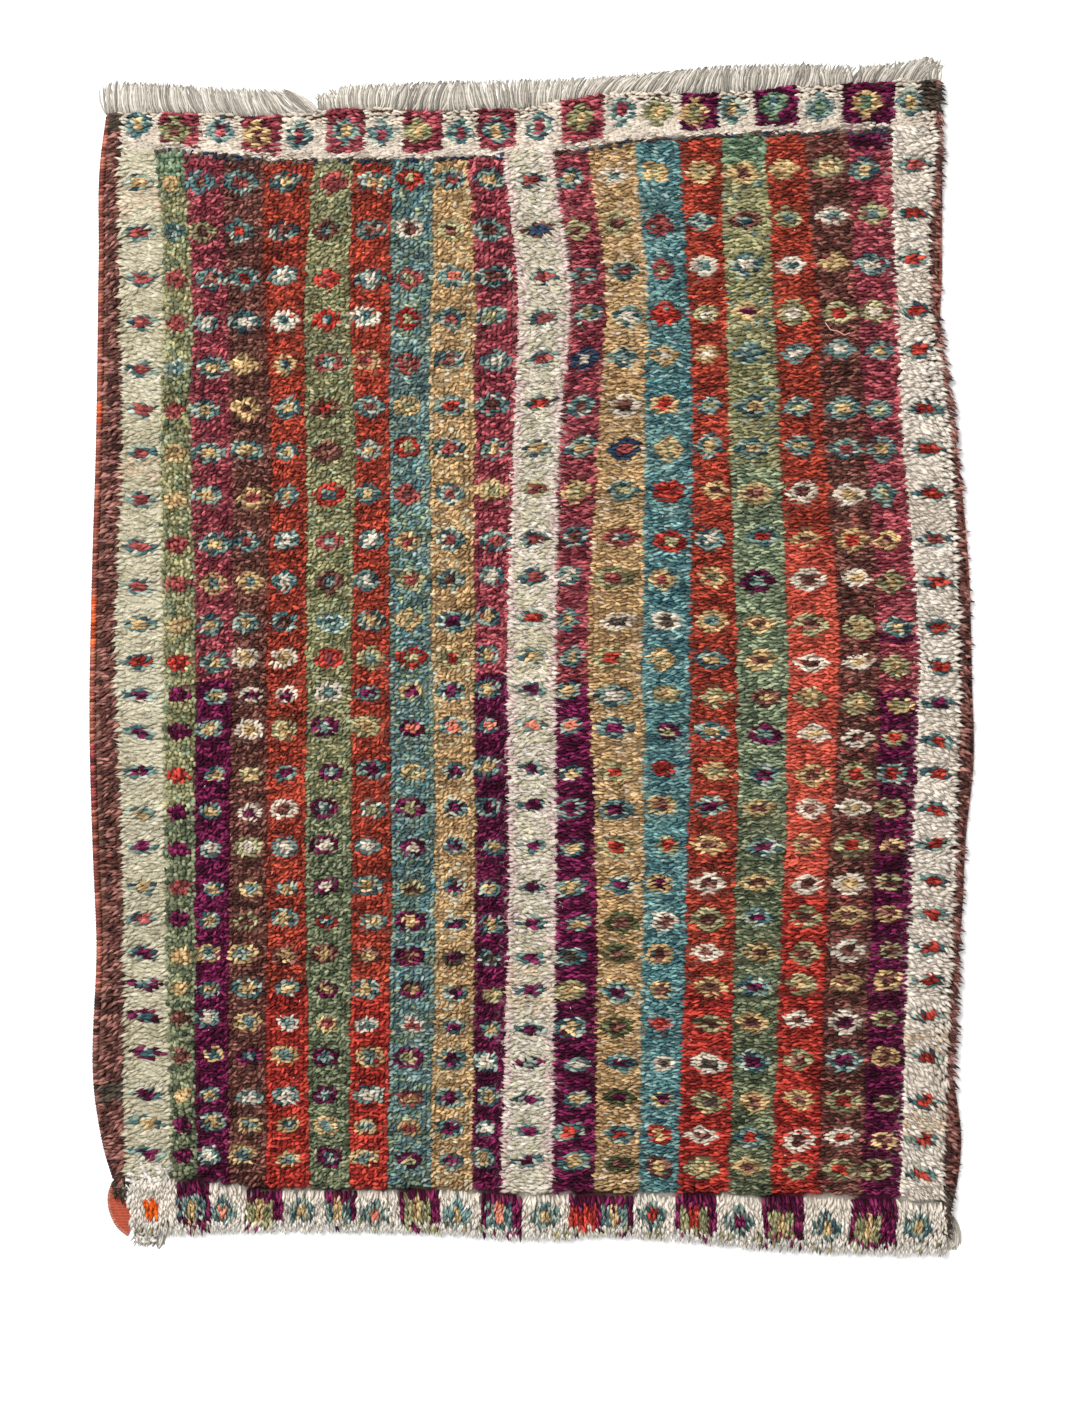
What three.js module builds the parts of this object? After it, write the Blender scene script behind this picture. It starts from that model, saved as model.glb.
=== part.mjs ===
// A long-pile wool rug that lies flat on a floor, pile up.
// Units are millimetres, +Z is up and the floor is Z = 0. The origin is on the floor under the middle
// of the whole outline. +Y runs to the fringed end, -Y to the end where the pile falls over the edge.
//
// Pieces: the knotted cloth, an overcast cord along each side, the fringe of warp ends at the top end,
// a tab of flat-woven hem at one corner and a bundle of loose warp ends at each lower corner.
import * as THREE from 'three';

// Driving dimensions
const PILE_TOP = 15; // floor to the top of the pile, in the field
const BORDER_RISE = 1.5; // how much higher the ivory borders' longer pile stands
const ROW_DIP = 1.6; // how deep the partings between rows of rosettes and between stripes are
const WAVE = 1.2; // slow unevenness of the pile
const LUMPS = 2.4; // and the unevenness from one clump to the next
const SHOULDER = 5; // how much the pile falls off towards the rim
const GAP = 0.3; // between pieces that touch
const CORD_END = 2.5; // how far below the cloth's top corners the side cords end
const CORD_LEFT = { width: 10, height: 8 };
const CORD_RIGHT = { width: 7, height: 6 };
const ROSETTE_ROWS = 26;
const FOOT_BAND = 62; // length of the band of blocks at the lower end
const HEAD_BAND = 52; // and at the fringed end
const PILE_HEAD = 702; // mean Y of the pile's upper and lower edges
const PILE_FOOT = -728;

// Widths of the strips of pile from the left side to the right, halfway along the rug
const STRIPES = [
  { name: 'brown guard', width: 20 },
  { name: 'ivory border', width: 57, rise: BORDER_RISE },
  { name: 'sage', width: 45 },
  { name: 'raspberry', width: 45 },
  { name: 'walnut', width: 43 },
  { name: 'red', width: 52 },
  { name: 'sage', width: 55 },
  { name: 'red', width: 49 },
  { name: 'teal', width: 53 },
  { name: 'gold', width: 53 },
  { name: 'raspberry', width: 43 },
  { name: 'ivory', width: 60, rise: BORDER_RISE },
  { name: 'raspberry', width: 40 },
  { name: 'gold', width: 69 },
  { name: 'teal', width: 59 },
  { name: 'red', width: 60 },
  { name: 'sage', width: 63 },
  { name: 'red', width: 64 },
  { name: 'walnut', width: 52 },
  { name: 'raspberry', width: 47 },
  { name: 'ivory border', width: 57, rise: BORDER_RISE },
  { name: 'brown guard', width: 12 },
];

// The cloth's own edges, where they leave the floor, from the foot up and from left to right
const LEFT_EDGE = [
  { y: -731, x: -504 },
  { y: -690, x: -509 },
  { y: -664, x: -519 },
  { y: -634, x: -529 },
  { y: -571, x: -542 },
  { y: -350, x: -542 },
  { y: -256, x: -546 },
  { y: -98, x: -550.5 },
  { y: 122, x: -547 },
  { y: 248, x: -543 },
  { y: 500, x: -539 },
  { y: 626, x: -537 },
  { y: 687, x: -529 },
];
const RIGHT_EDGE = [
  { y: -747, x: 518 },
  { y: -712, x: 519 },
  { y: -665, x: 529 },
  { y: -602, x: 534 },
  { y: -571, x: 530.5 },
  { y: -508, x: 520.5 },
  { y: -413, x: 524 },
  { y: -350, x: 533 },
  { y: -224, x: 540.5 },
  { y: -130, x: 549.9 },
  { y: -35, x: 548 },
  { y: 122, x: 543 },
  { y: 217, x: 534 },
  { y: 283, x: 524 },
  { y: 320, x: 513 },
  { y: 500, x: 510 },
  { y: 658, x: 509 },
  { y: 726, x: 504 },
];
const FOOT_EDGE = [
  { x: -520, y: -714 },
  { x: -464, y: -721 },
  { x: -420, y: -719 },
  { x: -117, y: -719.5 },
  { x: 9, y: -727 },
  { x: 84, y: -723 },
  { x: 185, y: -728 },
  { x: 286, y: -738 },
  { x: 412, y: -744.5 },
  { x: 519, y: -746 },
];
const HEAD_EDGE = [
  { x: -539, y: 685.5 },
  { x: -420, y: 686.5 },
  { x: -319, y: 682 },
  { x: -262, y: 689 },
  { x: -67, y: 690.5 },
  { x: 15, y: 696 },
  { x: 60, y: 706 },
  { x: 135, y: 712 },
  { x: 198, y: 710 },
  { x: 336, y: 719 },
  { x: 462, y: 725.5 },
  { x: 513, y: 726 },
];

// Locks of pile at each side's rim. Tip and valley are how far out they reach at their ends and between
// them, under and over are the heights of their underside and of their upper side there.
const LOCKS = {
  foot: { tip: 10.3, valley: 5, under: 0, over: 2.6 },
  right: { tip: 2, valley: 0.6, under: 6.9, over: 9 },
  rightLow: { tip: 11.8, valley: 7, under: 6.9, over: 9 },
  head: { tip: 2.4, valley: 0.8, under: 4, over: 8 },
  left: { tip: 0.9, valley: 0.2, under: 8.6, over: 9.6 },
};
const LOCK_SPREAD = 0.18; // how much shorter than that some tips are
const OVERHANG_BELOW = 170; // Y under which the right side's locks hang over its cord
const CORNER_BELOW = -655; // Y under which there is no left cord but the hem tab
const BUNDLE_LEFT_END = -458; // X up to which the left bundle of warp ends lies against the foot edge
const BUNDLE_RIGHT_TOP = -705; // Y under which the right cord gives way to its warp ends

// The fringe's reach, floor Y of its tips, and how far its strands lean to the left
const FRINGE_TIPS = [
  { x: -545, y: 716, lean: 4 },
  { x: -528, y: 724.5, lean: 5 },
  { x: -472, y: 721, lean: 7 },
  { x: -400, y: 715.5, lean: 8 },
  { x: -320, y: 714, lean: 7 },
  { x: -272, y: 705, lean: -9 },
  { x: -255, y: 712, lean: -6 },
  { x: -240, y: 719, lean: 8 },
  { x: -118, y: 725.5, lean: 8 },
  { x: 34, y: 728, lean: 7 },
  { x: 135, y: 734, lean: 9 },
  { x: 236, y: 745, lean: 8 },
  { x: 336, y: 747.5, lean: 9 },
  { x: 400, y: 741.5, lean: 8 },
  { x: 460, y: 748.5, lean: 9 },
  { x: 500, y: 755.6, lean: 6 },
  { x: 513, y: 747, lean: -2 },
];
// Shares for every strand: the strip's height in front, the sideways bend and the size halfway along
const STRAND = { front: 0.8, bend: 0.3, slim: 0.72 };
const FRINGE = {
  strands: 236, root: 2.6, thick: 2.2, strip: 3, slack: 0.5, stray: 0.8, uneven: 3,
};

// The two bundles of warp ends: reach, width at the tips as a share of the roots', and shift along the rim
const BUNDLE_LEFT = {
  strands: 9, root: 4.2, thick: 4.5, strip: 3.5, slack: 0.5, drop: 26, spread: 0.62, lean: -3,
};
const BUNDLE_RIGHT = {
  strands: 5, root: 1.5, thick: 4, strip: 3, slack: 0.5, drop: 38, spread: 1.9, lean: 5,
};

// The flat-woven hem tab, from its top on the selvedge round its bound outer edge to its foot
const HEM = { thick: 3, bind: 4.2, bindWidth: 4, least: 1.5, below: 4 };
const HEM_OUTLINE = [
  { x: -529, y: -664 },
  { x: -534.5, y: -677 },
  { x: -535, y: -691 },
  { x: -531, y: -706 },
  { x: -523, y: -720 },
  { x: -511.5, y: -729.5 },
];

// One repeatable number from 0 to 1 for each lock, strand or lump
function chance(index, seed) {
  const raw = Math.sin(index * 12.9898 + seed * 78.233) * 43758.5453;
  return raw - Math.floor(raw);
}

function curveThrough(rows, key, value) {
  const keys = rows.map((row) => row[key]);
  const values = rows.map((row) => row[value]);
  const curve = new THREE.CubicInterpolant(keys, values, 1);
  return (at) => curve.evaluate(THREE.MathUtils.clamp(at, keys[0], keys[keys.length - 1]))[0];
}

const leftEdge = curveThrough(LEFT_EDGE, 'y', 'x');
const rightEdge = curveThrough(RIGHT_EDGE, 'y', 'x');
const footEdge = curveThrough(FOOT_EDGE, 'x', 'y');
const headEdge = curveThrough(HEAD_EDGE, 'x', 'y');

// A closed body of triangles, put together from numbered points
class Solid {
  constructor() {
    this.points = [];
    this.corners = [];
  }

  point(x, y, z) {
    this.points.push(x, y, z);
    return this.points.length / 3 - 1;
  }

  triangle(a, b, c) {
    this.corners.push(a, b, c);
  }

  quad(a, b, c, d) {
    this.triangle(a, b, c);
    this.triangle(a, c, d);
  }

  // Skin between two open rows of points, the second one further on
  skin(row, next) {
    for (let i = 0; i + 1 < row.length; i += 1) {
      this.quad(row[i], row[i + 1], next[i + 1], next[i]);
    }
  }

  mesh(name, material) {
    const geometry = new THREE.BufferGeometry();
    geometry.setAttribute('position', new THREE.Float32BufferAttribute(this.points, 3));
    geometry.setIndex(this.corners);
    geometry.computeVertexNormals();
    const mesh = new THREE.Mesh(geometry, material);
    mesh.name = name;
    return mesh;
  }
}

// Shares of the width at the middle and right side of each strip, with the height of its pile
function columns() {
  const whole = STRIPES.reduce((sum, stripe) => sum + stripe.width, 0);
  const found = [{ at: 0, dip: 1, rise: 0 }];
  let reached = 0;
  for (const stripe of STRIPES) {
    const rise = stripe.rise ?? 0;
    found.push({ at: (reached + stripe.width / 2) / whole, dip: 0, rise });
    reached += stripe.width;
    found.push({ at: reached / whole, dip: 1, rise: rise / 2 });
  }
  return found;
}

// The same along the rug: the foot band, the rows of rosettes and the head band
function rows() {
  const whole = PILE_HEAD - PILE_FOOT;
  const row = (whole - FOOT_BAND - HEAD_BAND) / ROSETTE_ROWS;
  const lengths = [FOOT_BAND, ...Array(ROSETTE_ROWS).fill(row), HEAD_BAND];
  const found = [{ at: 0, dip: 1 }];
  let reached = 0;
  for (const length of lengths) {
    found.push({ at: (reached + length / 2) / whole, dip: 0 });
    reached += length;
    found.push({ at: reached / whole, dip: 1 });
  }
  return found;
}

// Where a share of the width and of the length lies on the floor
function place(u, v) {
  const mean = THREE.MathUtils.lerp(PILE_FOOT, PILE_HEAD, v);
  const x = THREE.MathUtils.lerp(leftEdge(mean), rightEdge(mean), u);
  const y = THREE.MathUtils.lerp(footEdge(x), headEdge(x), v);
  return new THREE.Vector2(x, y);
}

function pileHeight(column, row, i, j) {
  const fromRim = Math.min(column.at, 1 - column.at, row.at, 1 - row.at);
  const rim = fromRim < 0.001 ? SHOULDER : 0;
  const dips = ROW_DIP * (column.dip + row.dip);
  const slow = WAVE * Math.sin(9 * column.at + 5 * row.at) * Math.cos(11 * row.at - 4 * column.at);
  const quick = LUMPS * (chance(i * 131 + j, 3) - 0.5);
  return PILE_TOP + column.rise - dips - rim + slow + quick;
}

// The cloth's rim on the floor, round it from the lower left corner, with each point's side
function rimPoints(across, along) {
  const last = { i: across.length - 1, j: along.length - 1 };
  const found = [];
  const side = (name, steps, at) => {
    for (let k = 0; k < steps; k += 1) {
      const here = at(k);
      const next = at(k + 1);
      const a = place(across[here.i].at, along[here.j].at);
      const b = place(across[next.i].at, along[next.j].at);
      found.push({ side: name, at: a, grid: here, tip: false });
      found.push({ side: name, at: a.clone().lerp(b, 0.5), grid: null, tip: true });
    }
  };
  side('foot', last.i, (k) => ({ i: k, j: 0 }));
  side('right', last.j, (k) => ({ i: last.i, j: k }));
  side('head', last.i, (k) => ({ i: last.i - k, j: last.j }));
  side('left', last.j, (k) => ({ i: 0, j: last.j - k }));
  return found.map((point, k) => {
    const before = found[(k + found.length - 1) % found.length].at;
    const after = found[(k + 1) % found.length].at;
    const run = after.clone().sub(before).normalize();
    return { ...point, out: new THREE.Vector2(run.y, -run.x) };
  });
}

function locksAt(point) {
  if (point.side === 'foot' && point.at.x < BUNDLE_LEFT_END) {
    return { ...LOCKS.foot, tip: 0, valley: 0 };
  }
  if (point.side !== 'right' || point.at.y > OVERHANG_BELOW) {
    return LOCKS[point.side];
  }
  return point.at.y < BUNDLE_RIGHT_TOP ? { ...LOCKS.rightLow, tip: 1.5, valley: 0.5 } : LOCKS.rightLow;
}

function rugBody(rim, across, along, material) {
  const body = new Solid();
  const top = across.map((column, i) => along.map((row, j) => {
    const at = place(column.at, row.at);
    return body.point(at.x, at.y, pileHeight(column, row, i, j));
  }));
  for (let i = 0; i + 1 < across.length; i += 1) {
    body.skin(top[i + 1], top[i]);
  }
  const count = rim.length;
  const reached = rim.map((point, k) => {
    const locks = locksAt(point);
    const out = point.tip ? locks.tip * (1 - LOCK_SPREAD * chance(k, 7)) : locks.valley;
    return point.at.clone().addScaledVector(point.out, out);
  });
  const onFloor = rim.map((point) => locksAt(point).under === 0);
  const over = rim.map((point, k) => body.point(reached[k].x, reached[k].y, locksAt(point).over));
  const under = rim.map((point, k) => {
    const at = onFloor[k] ? reached[k] : point.at;
    return body.point(at.x, at.y, locksAt(point).under);
  });
  const floor = rim.map((point, k) => (onFloor[k] ? under[k] : body.point(point.at.x, point.at.y, 0)));
  for (let k = 0; k < count; k += 2) {
    const here = rim[k].grid;
    const next = rim[(k + 2) % count].grid;
    const a = top[here.i][here.j];
    const b = top[next.i][next.j];
    const far = (k + 2) % count;
    body.triangle(over[k], over[k + 1], a);
    body.triangle(a, over[k + 1], b);
    body.triangle(over[k + 1], over[far], b);
  }
  for (let k = 0; k < count; k += 1) {
    const next = (k + 1) % count;
    body.quad(under[k], under[next], over[next], over[k]);
    if (!onFloor[k]) {
      body.triangle(floor[k], floor[next], under[k]);
    }
    if (!onFloor[next]) {
      body.triangle(floor[next], under[next], under[k]);
    }
  }
  const contour = floor.map((p) => new THREE.Vector2(body.points[p * 3], body.points[p * 3 + 1]));
  for (const [a, b, c] of THREE.ShapeUtils.triangulateShape(contour, [])) {
    body.triangle(floor[a], floor[c], floor[b]);
  }
  return body.mesh('rug_body', material);
}

// An overcast cord with a flat underside, along a stretch of the cloth's rim
function cord(name, stretch, size, material) {
  const section = [
    { out: 0.1, z: 0 },
    { out: 0.9, z: 0 },
    { out: 1, z: 0.35 },
    { out: 0.86, z: 0.78 },
    { out: 0.5, z: 1 },
    { out: 0.14, z: 0.78 },
    { out: 0, z: 0.35 },
  ];
  const solid = new Solid();
  const rings = stretch.filter((point) => !point.tip).map((point) => section.map((corner) => {
    const out = GAP + corner.out * size.width;
    const x = point.at.x + point.out.x * out;
    return solid.point(x, point.at.y + point.out.y * out, corner.z * size.height);
  }));
  for (let k = 0; k + 1 < rings.length; k += 1) {
    solid.skin([...rings[k + 1], rings[k + 1][0]], [...rings[k], rings[k][0]]);
  }
  const first = rings[0];
  const last = rings[rings.length - 1];
  for (let k = 1; k + 1 < section.length; k += 1) {
    solid.triangle(first[0], first[k], first[k + 1]);
    solid.triangle(last[0], last[k + 1], last[k]);
  }
  return solid.mesh(name, material);
}

// One side of the rim, from corner to corner, with the side's own direction at its ends
function sideOf(rim, name) {
  const first = rim.findIndex((point) => point.side === name);
  const count = rim.filter((point) => point.side === name).length;
  const found = Array.from({ length: count + 1 }, (_, k) => ({ ...rim[(first + k) % rim.length] }));
  found[0].out = found[1].out;
  found[count].out = found[count - 1].out;
  return found;
}

// The part of a side between two values of X or Y, cut to them exactly
function between(side, axis, low, high) {
  const found = [];
  for (let k = 0; k + 1 < side.length; k += 1) {
    const a = side[k];
    const b = side[k + 1];
    const cut = (limit) => {
      const share = (limit - a.at[axis]) / (b.at[axis] - a.at[axis]);
      return { at: a.at.clone().lerp(b.at, share), out: a.out, tip: false };
    };
    const inside = (value) => value >= low && value <= high;
    if (inside(a.at[axis])) {
      found.push(a);
    }
    const limits = a.at[axis] < b.at[axis] ? [low, high] : [high, low];
    limits.filter((limit) => (limit - a.at[axis]) * (limit - b.at[axis]) < 0)
      .forEach((limit) => found.push(cut(limit)));
  }
  const last = side[side.length - 1];
  if (last.at[axis] >= low && last.at[axis] <= high) {
    found.push(last);
  }
  return found;
}

// A side made longer in its own direction, before its start and past its end
function longer(side, before, past) {
  const step = (point, by) => {
    const run = new THREE.Vector2(-point.out.y, point.out.x);
    return { at: point.at.clone().addScaledVector(run, by), out: point.out, tip: false };
  };
  return [step(side[0], -before), ...side, step(side[side.length - 1], past)];
}

// A point at a share of the length of a stretch of the rim, with its outward direction
function alongStretch(stretch, share) {
  const steps = stretch.slice(1).map((point, k) => point.at.distanceTo(stretch[k].at));
  let left = share * steps.reduce((sum, step) => sum + step, 0);
  let k = 0;
  while (k + 1 < steps.length && left > steps[k]) {
    left -= steps[k];
    k += 1;
  }
  const part = left / steps[k];
  return {
    at: stretch[k].at.clone().lerp(stretch[k + 1].at, part),
    out: stretch[k].out.clone().lerp(stretch[k + 1].out, part).normalize(),
  };
}

// Three-sided strands that lie on the floor, their roots fused in a narrow strip beside the rim.
// tipOf gives each strand's tip from its root, as a step along the strip and one away from it.
function strands(name, stretch, size, tipOf, material) {
  const solid = new Solid();
  const pitch = 1 / size.strands;
  const rowsOf = { front: [], crest: [], low: [], apex: [] };
  const half = size.root / 2;
  for (let n = 0; n < size.strands; n += 1) {
    const root = alongStretch(stretch, (n + 0.5) * pitch);
    const run = new THREE.Vector2(-root.out.y, root.out.x);
    const spot = (along, out, z) => solid.point(
      root.at.x + run.x * along + root.out.x * out,
      root.at.y + run.y * along + root.out.y * out,
      z,
    );
    const near = size.slack;
    const far = size.slack + size.strip;
    rowsOf.front.push(spot(0, near, 0));
    rowsOf.crest.push(spot(0, near, size.thick * STRAND.front));
    const low = [spot(-half, far, 0), spot(half, far, 0)];
    const apex = spot(0, far, size.thick);
    rowsOf.low.push(low);
    rowsOf.apex.push(apex);
    const tip = tipOf(n, root);
    const bend = { along: tip.along * STRAND.bend, out: far + (tip.out - far) / 2 };
    const slim = half * STRAND.slim;
    const mid = [spot(bend.along - slim, bend.out, 0), spot(bend.along + slim, bend.out, 0)];
    const ridge = spot(bend.along, bend.out, size.thick * STRAND.slim);
    const end = spot(tip.along, tip.out, 0);
    solid.quad(low[0], low[1], mid[1], mid[0]);
    solid.quad(low[1], apex, ridge, mid[1]);
    solid.quad(apex, low[0], mid[0], ridge);
    solid.triangle(mid[0], mid[1], end);
    solid.triangle(mid[1], ridge, end);
    solid.triangle(ridge, mid[0], end);
  }
  const { front, crest, low, apex } = rowsOf;
  for (let n = 0; n + 1 < size.strands; n += 1) {
    solid.quad(front[n], front[n + 1], low[n + 1][0], low[n][1]);
    solid.quad(low[n][1], low[n + 1][0], apex[n + 1], apex[n]);
    solid.quad(front[n], crest[n], crest[n + 1], front[n + 1]);
    solid.quad(crest[n], apex[n], apex[n + 1], crest[n + 1]);
  }
  for (let n = 0; n < size.strands; n += 1) {
    solid.triangle(front[n], low[n][1], low[n][0]);
  }
  const end = size.strands - 1;
  solid.quad(front[0], low[0][0], apex[0], crest[0]);
  solid.quad(front[end], crest[end], apex[end], low[end][1]);
  return solid.mesh(name, material);
}

function fringeTop(stretch, material) {
  const tipLine = curveThrough(FRINGE_TIPS, 'x', 'y');
  const leanLine = curveThrough(FRINGE_TIPS, 'x', 'lean');
  return strands('fringe_top', stretch, FRINGE, (n, root) => {
    const reach = tipLine(root.at.x) - root.at.y;
    const lean = leanLine(root.at.x) + FRINGE.stray * (chance(n, 5) - 0.5);
    return { along: lean, out: reach - FRINGE.uneven * chance(n, 9) ** 3 };
  }, material);
}

function bundle(name, stretch, size, material) {
  const middle = (size.strands - 1) / 2;
  const width = stretch[0].at.distanceTo(stretch[stretch.length - 1].at);
  return strands(name, stretch, size, (n) => {
    const aside = (n - middle) / middle;
    const along = (aside * width * (size.spread - 1)) / 2 + size.lean;
    return { along, out: size.slack + size.drop * (1 - 0.25 * aside ** 2) };
  }, material);
}

// The line across the lower end of the right cord, where its warp ends come out
function rightCordFoot(side) {
  const rimFoot = between(side, 'y', BUNDLE_RIGHT_TOP - 1, BUNDLE_RIGHT_TOP)[0].at;
  const out = new THREE.Vector2(0, -1);
  const at = (x) => new THREE.Vector2(rimFoot.x + x, rimFoot.y);
  return [{ at: at(2 * GAP), out }, { at: at(2 * GAP + CORD_RIGHT.width + 2), out }];
}

// The flat-woven tab: a thin cloth with a thicker bound outer edge
function hemTab(stretch, material) {
  const solid = new Solid();
  const x = curveThrough(HEM_OUTLINE.map((row) => ({ ...row, down: -row.y })), 'down', 'x');
  const outer = [];
  const inner = [];
  stretch.forEach((point) => {
    const y = point.at.y;
    inner.push(new THREE.Vector2(point.at.x - GAP, y));
    outer.push(new THREE.Vector2(Math.min(x(-y), point.at.x - GAP - HEM.least), y));
  });
  const lines = outer.map((edge, k) => {
    const bound = edge.clone().lerp(inner[k], Math.min(0.6, HEM.bindWidth / edge.distanceTo(inner[k])));
    return [
      solid.point(inner[k].x, inner[k].y, 0),
      solid.point(inner[k].x, inner[k].y, HEM.thick),
      solid.point(bound.x, bound.y, HEM.thick),
      solid.point((bound.x + edge.x) / 2, edge.y, HEM.bind),
      solid.point(edge.x, edge.y, HEM.thick * 0.6),
      solid.point(edge.x, edge.y, 0),
    ];
  });
  for (let k = 0; k + 1 < lines.length; k += 1) {
    solid.skin([...lines[k], lines[k][0]], [...lines[k + 1], lines[k + 1][0]]);
  }
  const first = lines[0];
  const last = lines[lines.length - 1];
  for (let k = 1; k + 1 < first.length; k += 1) {
    solid.triangle(first[0], first[k + 1], first[k]);
    solid.triangle(last[0], last[k], last[k + 1]);
  }
  return solid.mesh('corner_hem', material);
}

const pileWool = new THREE.MeshStandardMaterial({ color: 0x9a5a50, roughness: 0.95, metalness: 0 });
const overcastWool = new THREE.MeshStandardMaterial({ color: 0xa8573f, roughness: 0.9, metalness: 0 });
const warpWool = new THREE.MeshStandardMaterial({ color: 0xcabfa9, roughness: 0.9, metalness: 0 });
const hemWool = new THREE.MeshStandardMaterial({ color: 0xb8492e, roughness: 0.9, metalness: 0 });

const across = columns();
const along = rows();
const rim = rimPoints(across, along);
const left = sideOf(rim, 'left');
const right = sideOf(rim, 'right');
const foot = sideOf(rim, 'foot');
const head = sideOf(rim, 'head');
const leftTop = left[0].at.y - CORD_END;
const rightTop = right[right.length - 1].at.y - CORD_END;

const rug = new THREE.Group();
rug.add(
  rugBody(rim, across, along, pileWool),
  cord('selvedge_left', between(left, 'y', CORNER_BELOW, leftTop), CORD_LEFT, overcastWool),
  cord('selvedge_right', between(right, 'y', BUNDLE_RIGHT_TOP, rightTop), CORD_RIGHT, overcastWool),
  fringeTop(longer(head, CORD_RIGHT.width - 1, CORD_LEFT.width - 1), warpWool),
  hemTab(between(left, 'y', -Infinity, CORNER_BELOW - HEM.below), hemWool),
  bundle('warp_ends_left', between(foot, 'x', -Infinity, BUNDLE_LEFT_END), BUNDLE_LEFT, warpWool),
  bundle('warp_ends_right', rightCordFoot(right), BUNDLE_RIGHT, warpWool),
);

export default rug;
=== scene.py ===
# %% [markdown]
# # A long-pile rug, knot by knot
#
# A village rug is a stout woven cloth with a tuft of dyed wool knotted round every pair of warps.
# The scene is made the same way. A thin woven foundation carries the tufts, a few kinds of tuft are
# modelled, and each is planted where the weaver tied it, in the yarn that belongs there.
# Everything stands round a imported model of plain solids, which fixes the sizes and the place.

# %% Load the imported model
import math

import bpy
import numpy as np
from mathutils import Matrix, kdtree


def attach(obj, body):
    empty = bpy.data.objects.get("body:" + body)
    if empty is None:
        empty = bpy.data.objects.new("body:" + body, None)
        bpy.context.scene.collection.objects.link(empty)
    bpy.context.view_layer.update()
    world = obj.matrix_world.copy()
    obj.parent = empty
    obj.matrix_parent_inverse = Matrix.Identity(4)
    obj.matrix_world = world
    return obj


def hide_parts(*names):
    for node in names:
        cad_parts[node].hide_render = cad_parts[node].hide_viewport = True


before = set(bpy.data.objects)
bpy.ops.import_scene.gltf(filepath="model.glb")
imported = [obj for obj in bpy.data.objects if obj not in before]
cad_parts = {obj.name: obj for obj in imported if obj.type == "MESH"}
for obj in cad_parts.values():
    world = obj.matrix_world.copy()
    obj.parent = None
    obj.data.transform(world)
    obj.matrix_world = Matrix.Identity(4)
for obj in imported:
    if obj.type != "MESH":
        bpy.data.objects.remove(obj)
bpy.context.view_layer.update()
MM = 0.001

# %% [markdown]
# ## Camera
#
# The rug is photographed from straight above. A long lens keeps the view flat, and its distance
# follows from the picture: one pixel shows 1.26 mm of floor, and the picture is 1401 pixels tall.

# %% Camera over the rug
PICTURE = (1080, 1401)
ORIGIN_PIXEL = (533, 657)
PIXEL_MM = 1.26
LENS_MM = 85
SENSOR_MM = 36
PILE_LEVEL_MM = 12


def nothing_selected():
    """Leaves edit mode and drops the selection, so that the next operator acts on its own object."""
    if bpy.context.object and bpy.context.object.mode != "OBJECT":
        bpy.ops.object.mode_set(mode="OBJECT")
    bpy.ops.object.select_all(action="DESELECT")


nothing_selected()
middle_x = (PICTURE[0] / 2 - ORIGIN_PIXEL[0]) * PIXEL_MM * MM
middle_y = (ORIGIN_PIXEL[1] - PICTURE[1] / 2) * PIXEL_MM * MM
distance = PICTURE[1] * PIXEL_MM * MM * LENS_MM / SENSOR_MM
camera_place = (middle_x, middle_y, distance + PILE_LEVEL_MM * MM)
bpy.ops.object.camera_add(location=camera_place, rotation=(0, 0, 0))
camera = bpy.context.object
camera.data.lens = LENS_MM
camera.data.sensor_width = SENSOR_MM
bpy.context.scene.camera = camera
bpy.context.scene.view_settings.view_transform = "Standard"
print(f"camera {distance:.2f} m above the pile")

# %% [markdown]
# ## Writing finishes as sums
#
# A material is a network of nodes. Wrapping a socket in a small class lets an ordinary expression,
# such as `1 - 0.35 * (1 - ribs)`, add the Math nodes that it stands for. Every other kind of node
# comes from one method, which sets the node up first and then fills or links its inputs.


# %% Sockets and node trees
class Value:
    """An output of a node, which Python's own operators can reckon with."""

    def __init__(self, tree, socket):
        self.tree = tree
        self.socket = socket

    def math(self, operation, one, other):
        return self.tree.node("ShaderNodeMath", {"operation": operation}, {0: one, 1: other})

    def __add__(self, other):
        return self.math("ADD", self, other)

    def __mul__(self, other):
        return self.math("MULTIPLY", self, other)

    def __rsub__(self, other):
        return self.math("SUBTRACT", other, self)

    __radd__ = __add__
    __rmul__ = __mul__


class Tree:
    """A node tree of a material or of a modifier."""

    def __init__(self, made):
        self.made = made

    def node(self, kind, settings=None, inputs=None, output=0):
        made = self.made.nodes.new(kind)
        for name, value in (settings or {}).items():
            setattr(made, name, value)
        for name, value in (inputs or {}).items():
            if isinstance(value, Value):
                self.made.links.new(value.socket, made.inputs[name])
            else:
                made.inputs[name].default_value = value
        return Value(self, made.outputs[output]) if len(made.outputs) else made

    def attribute(self, name, output="Fac"):
        return self.node("ShaderNodeAttribute", {"attribute_name": name}, output=output)

    def place(self):
        return self.node("ShaderNodeTexCoord", output="Object")

    def noise(self, place, per_metre, detail=2.0, roughness=0.5):
        inputs = {"Vector": place, "Scale": per_metre, "Detail": detail, "Roughness": roughness}
        return self.node("ShaderNodeTexNoise", None, inputs)

    def blend(self, share, one, other):
        inputs = {0: share, 6: one, 7: other}
        return self.node("ShaderNodeMix", {"data_type": "RGBA"}, inputs, output=2)

    def darken(self, colour, by):
        return self.node("ShaderNodeVectorMath", {"operation": "SCALE"}, {0: colour, "Scale": by})

    def relief(self, height, strength, depth):
        inputs = {"Strength": strength, "Distance": depth, "Height": height}
        return self.node("ShaderNodeBump", None, inputs)


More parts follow.
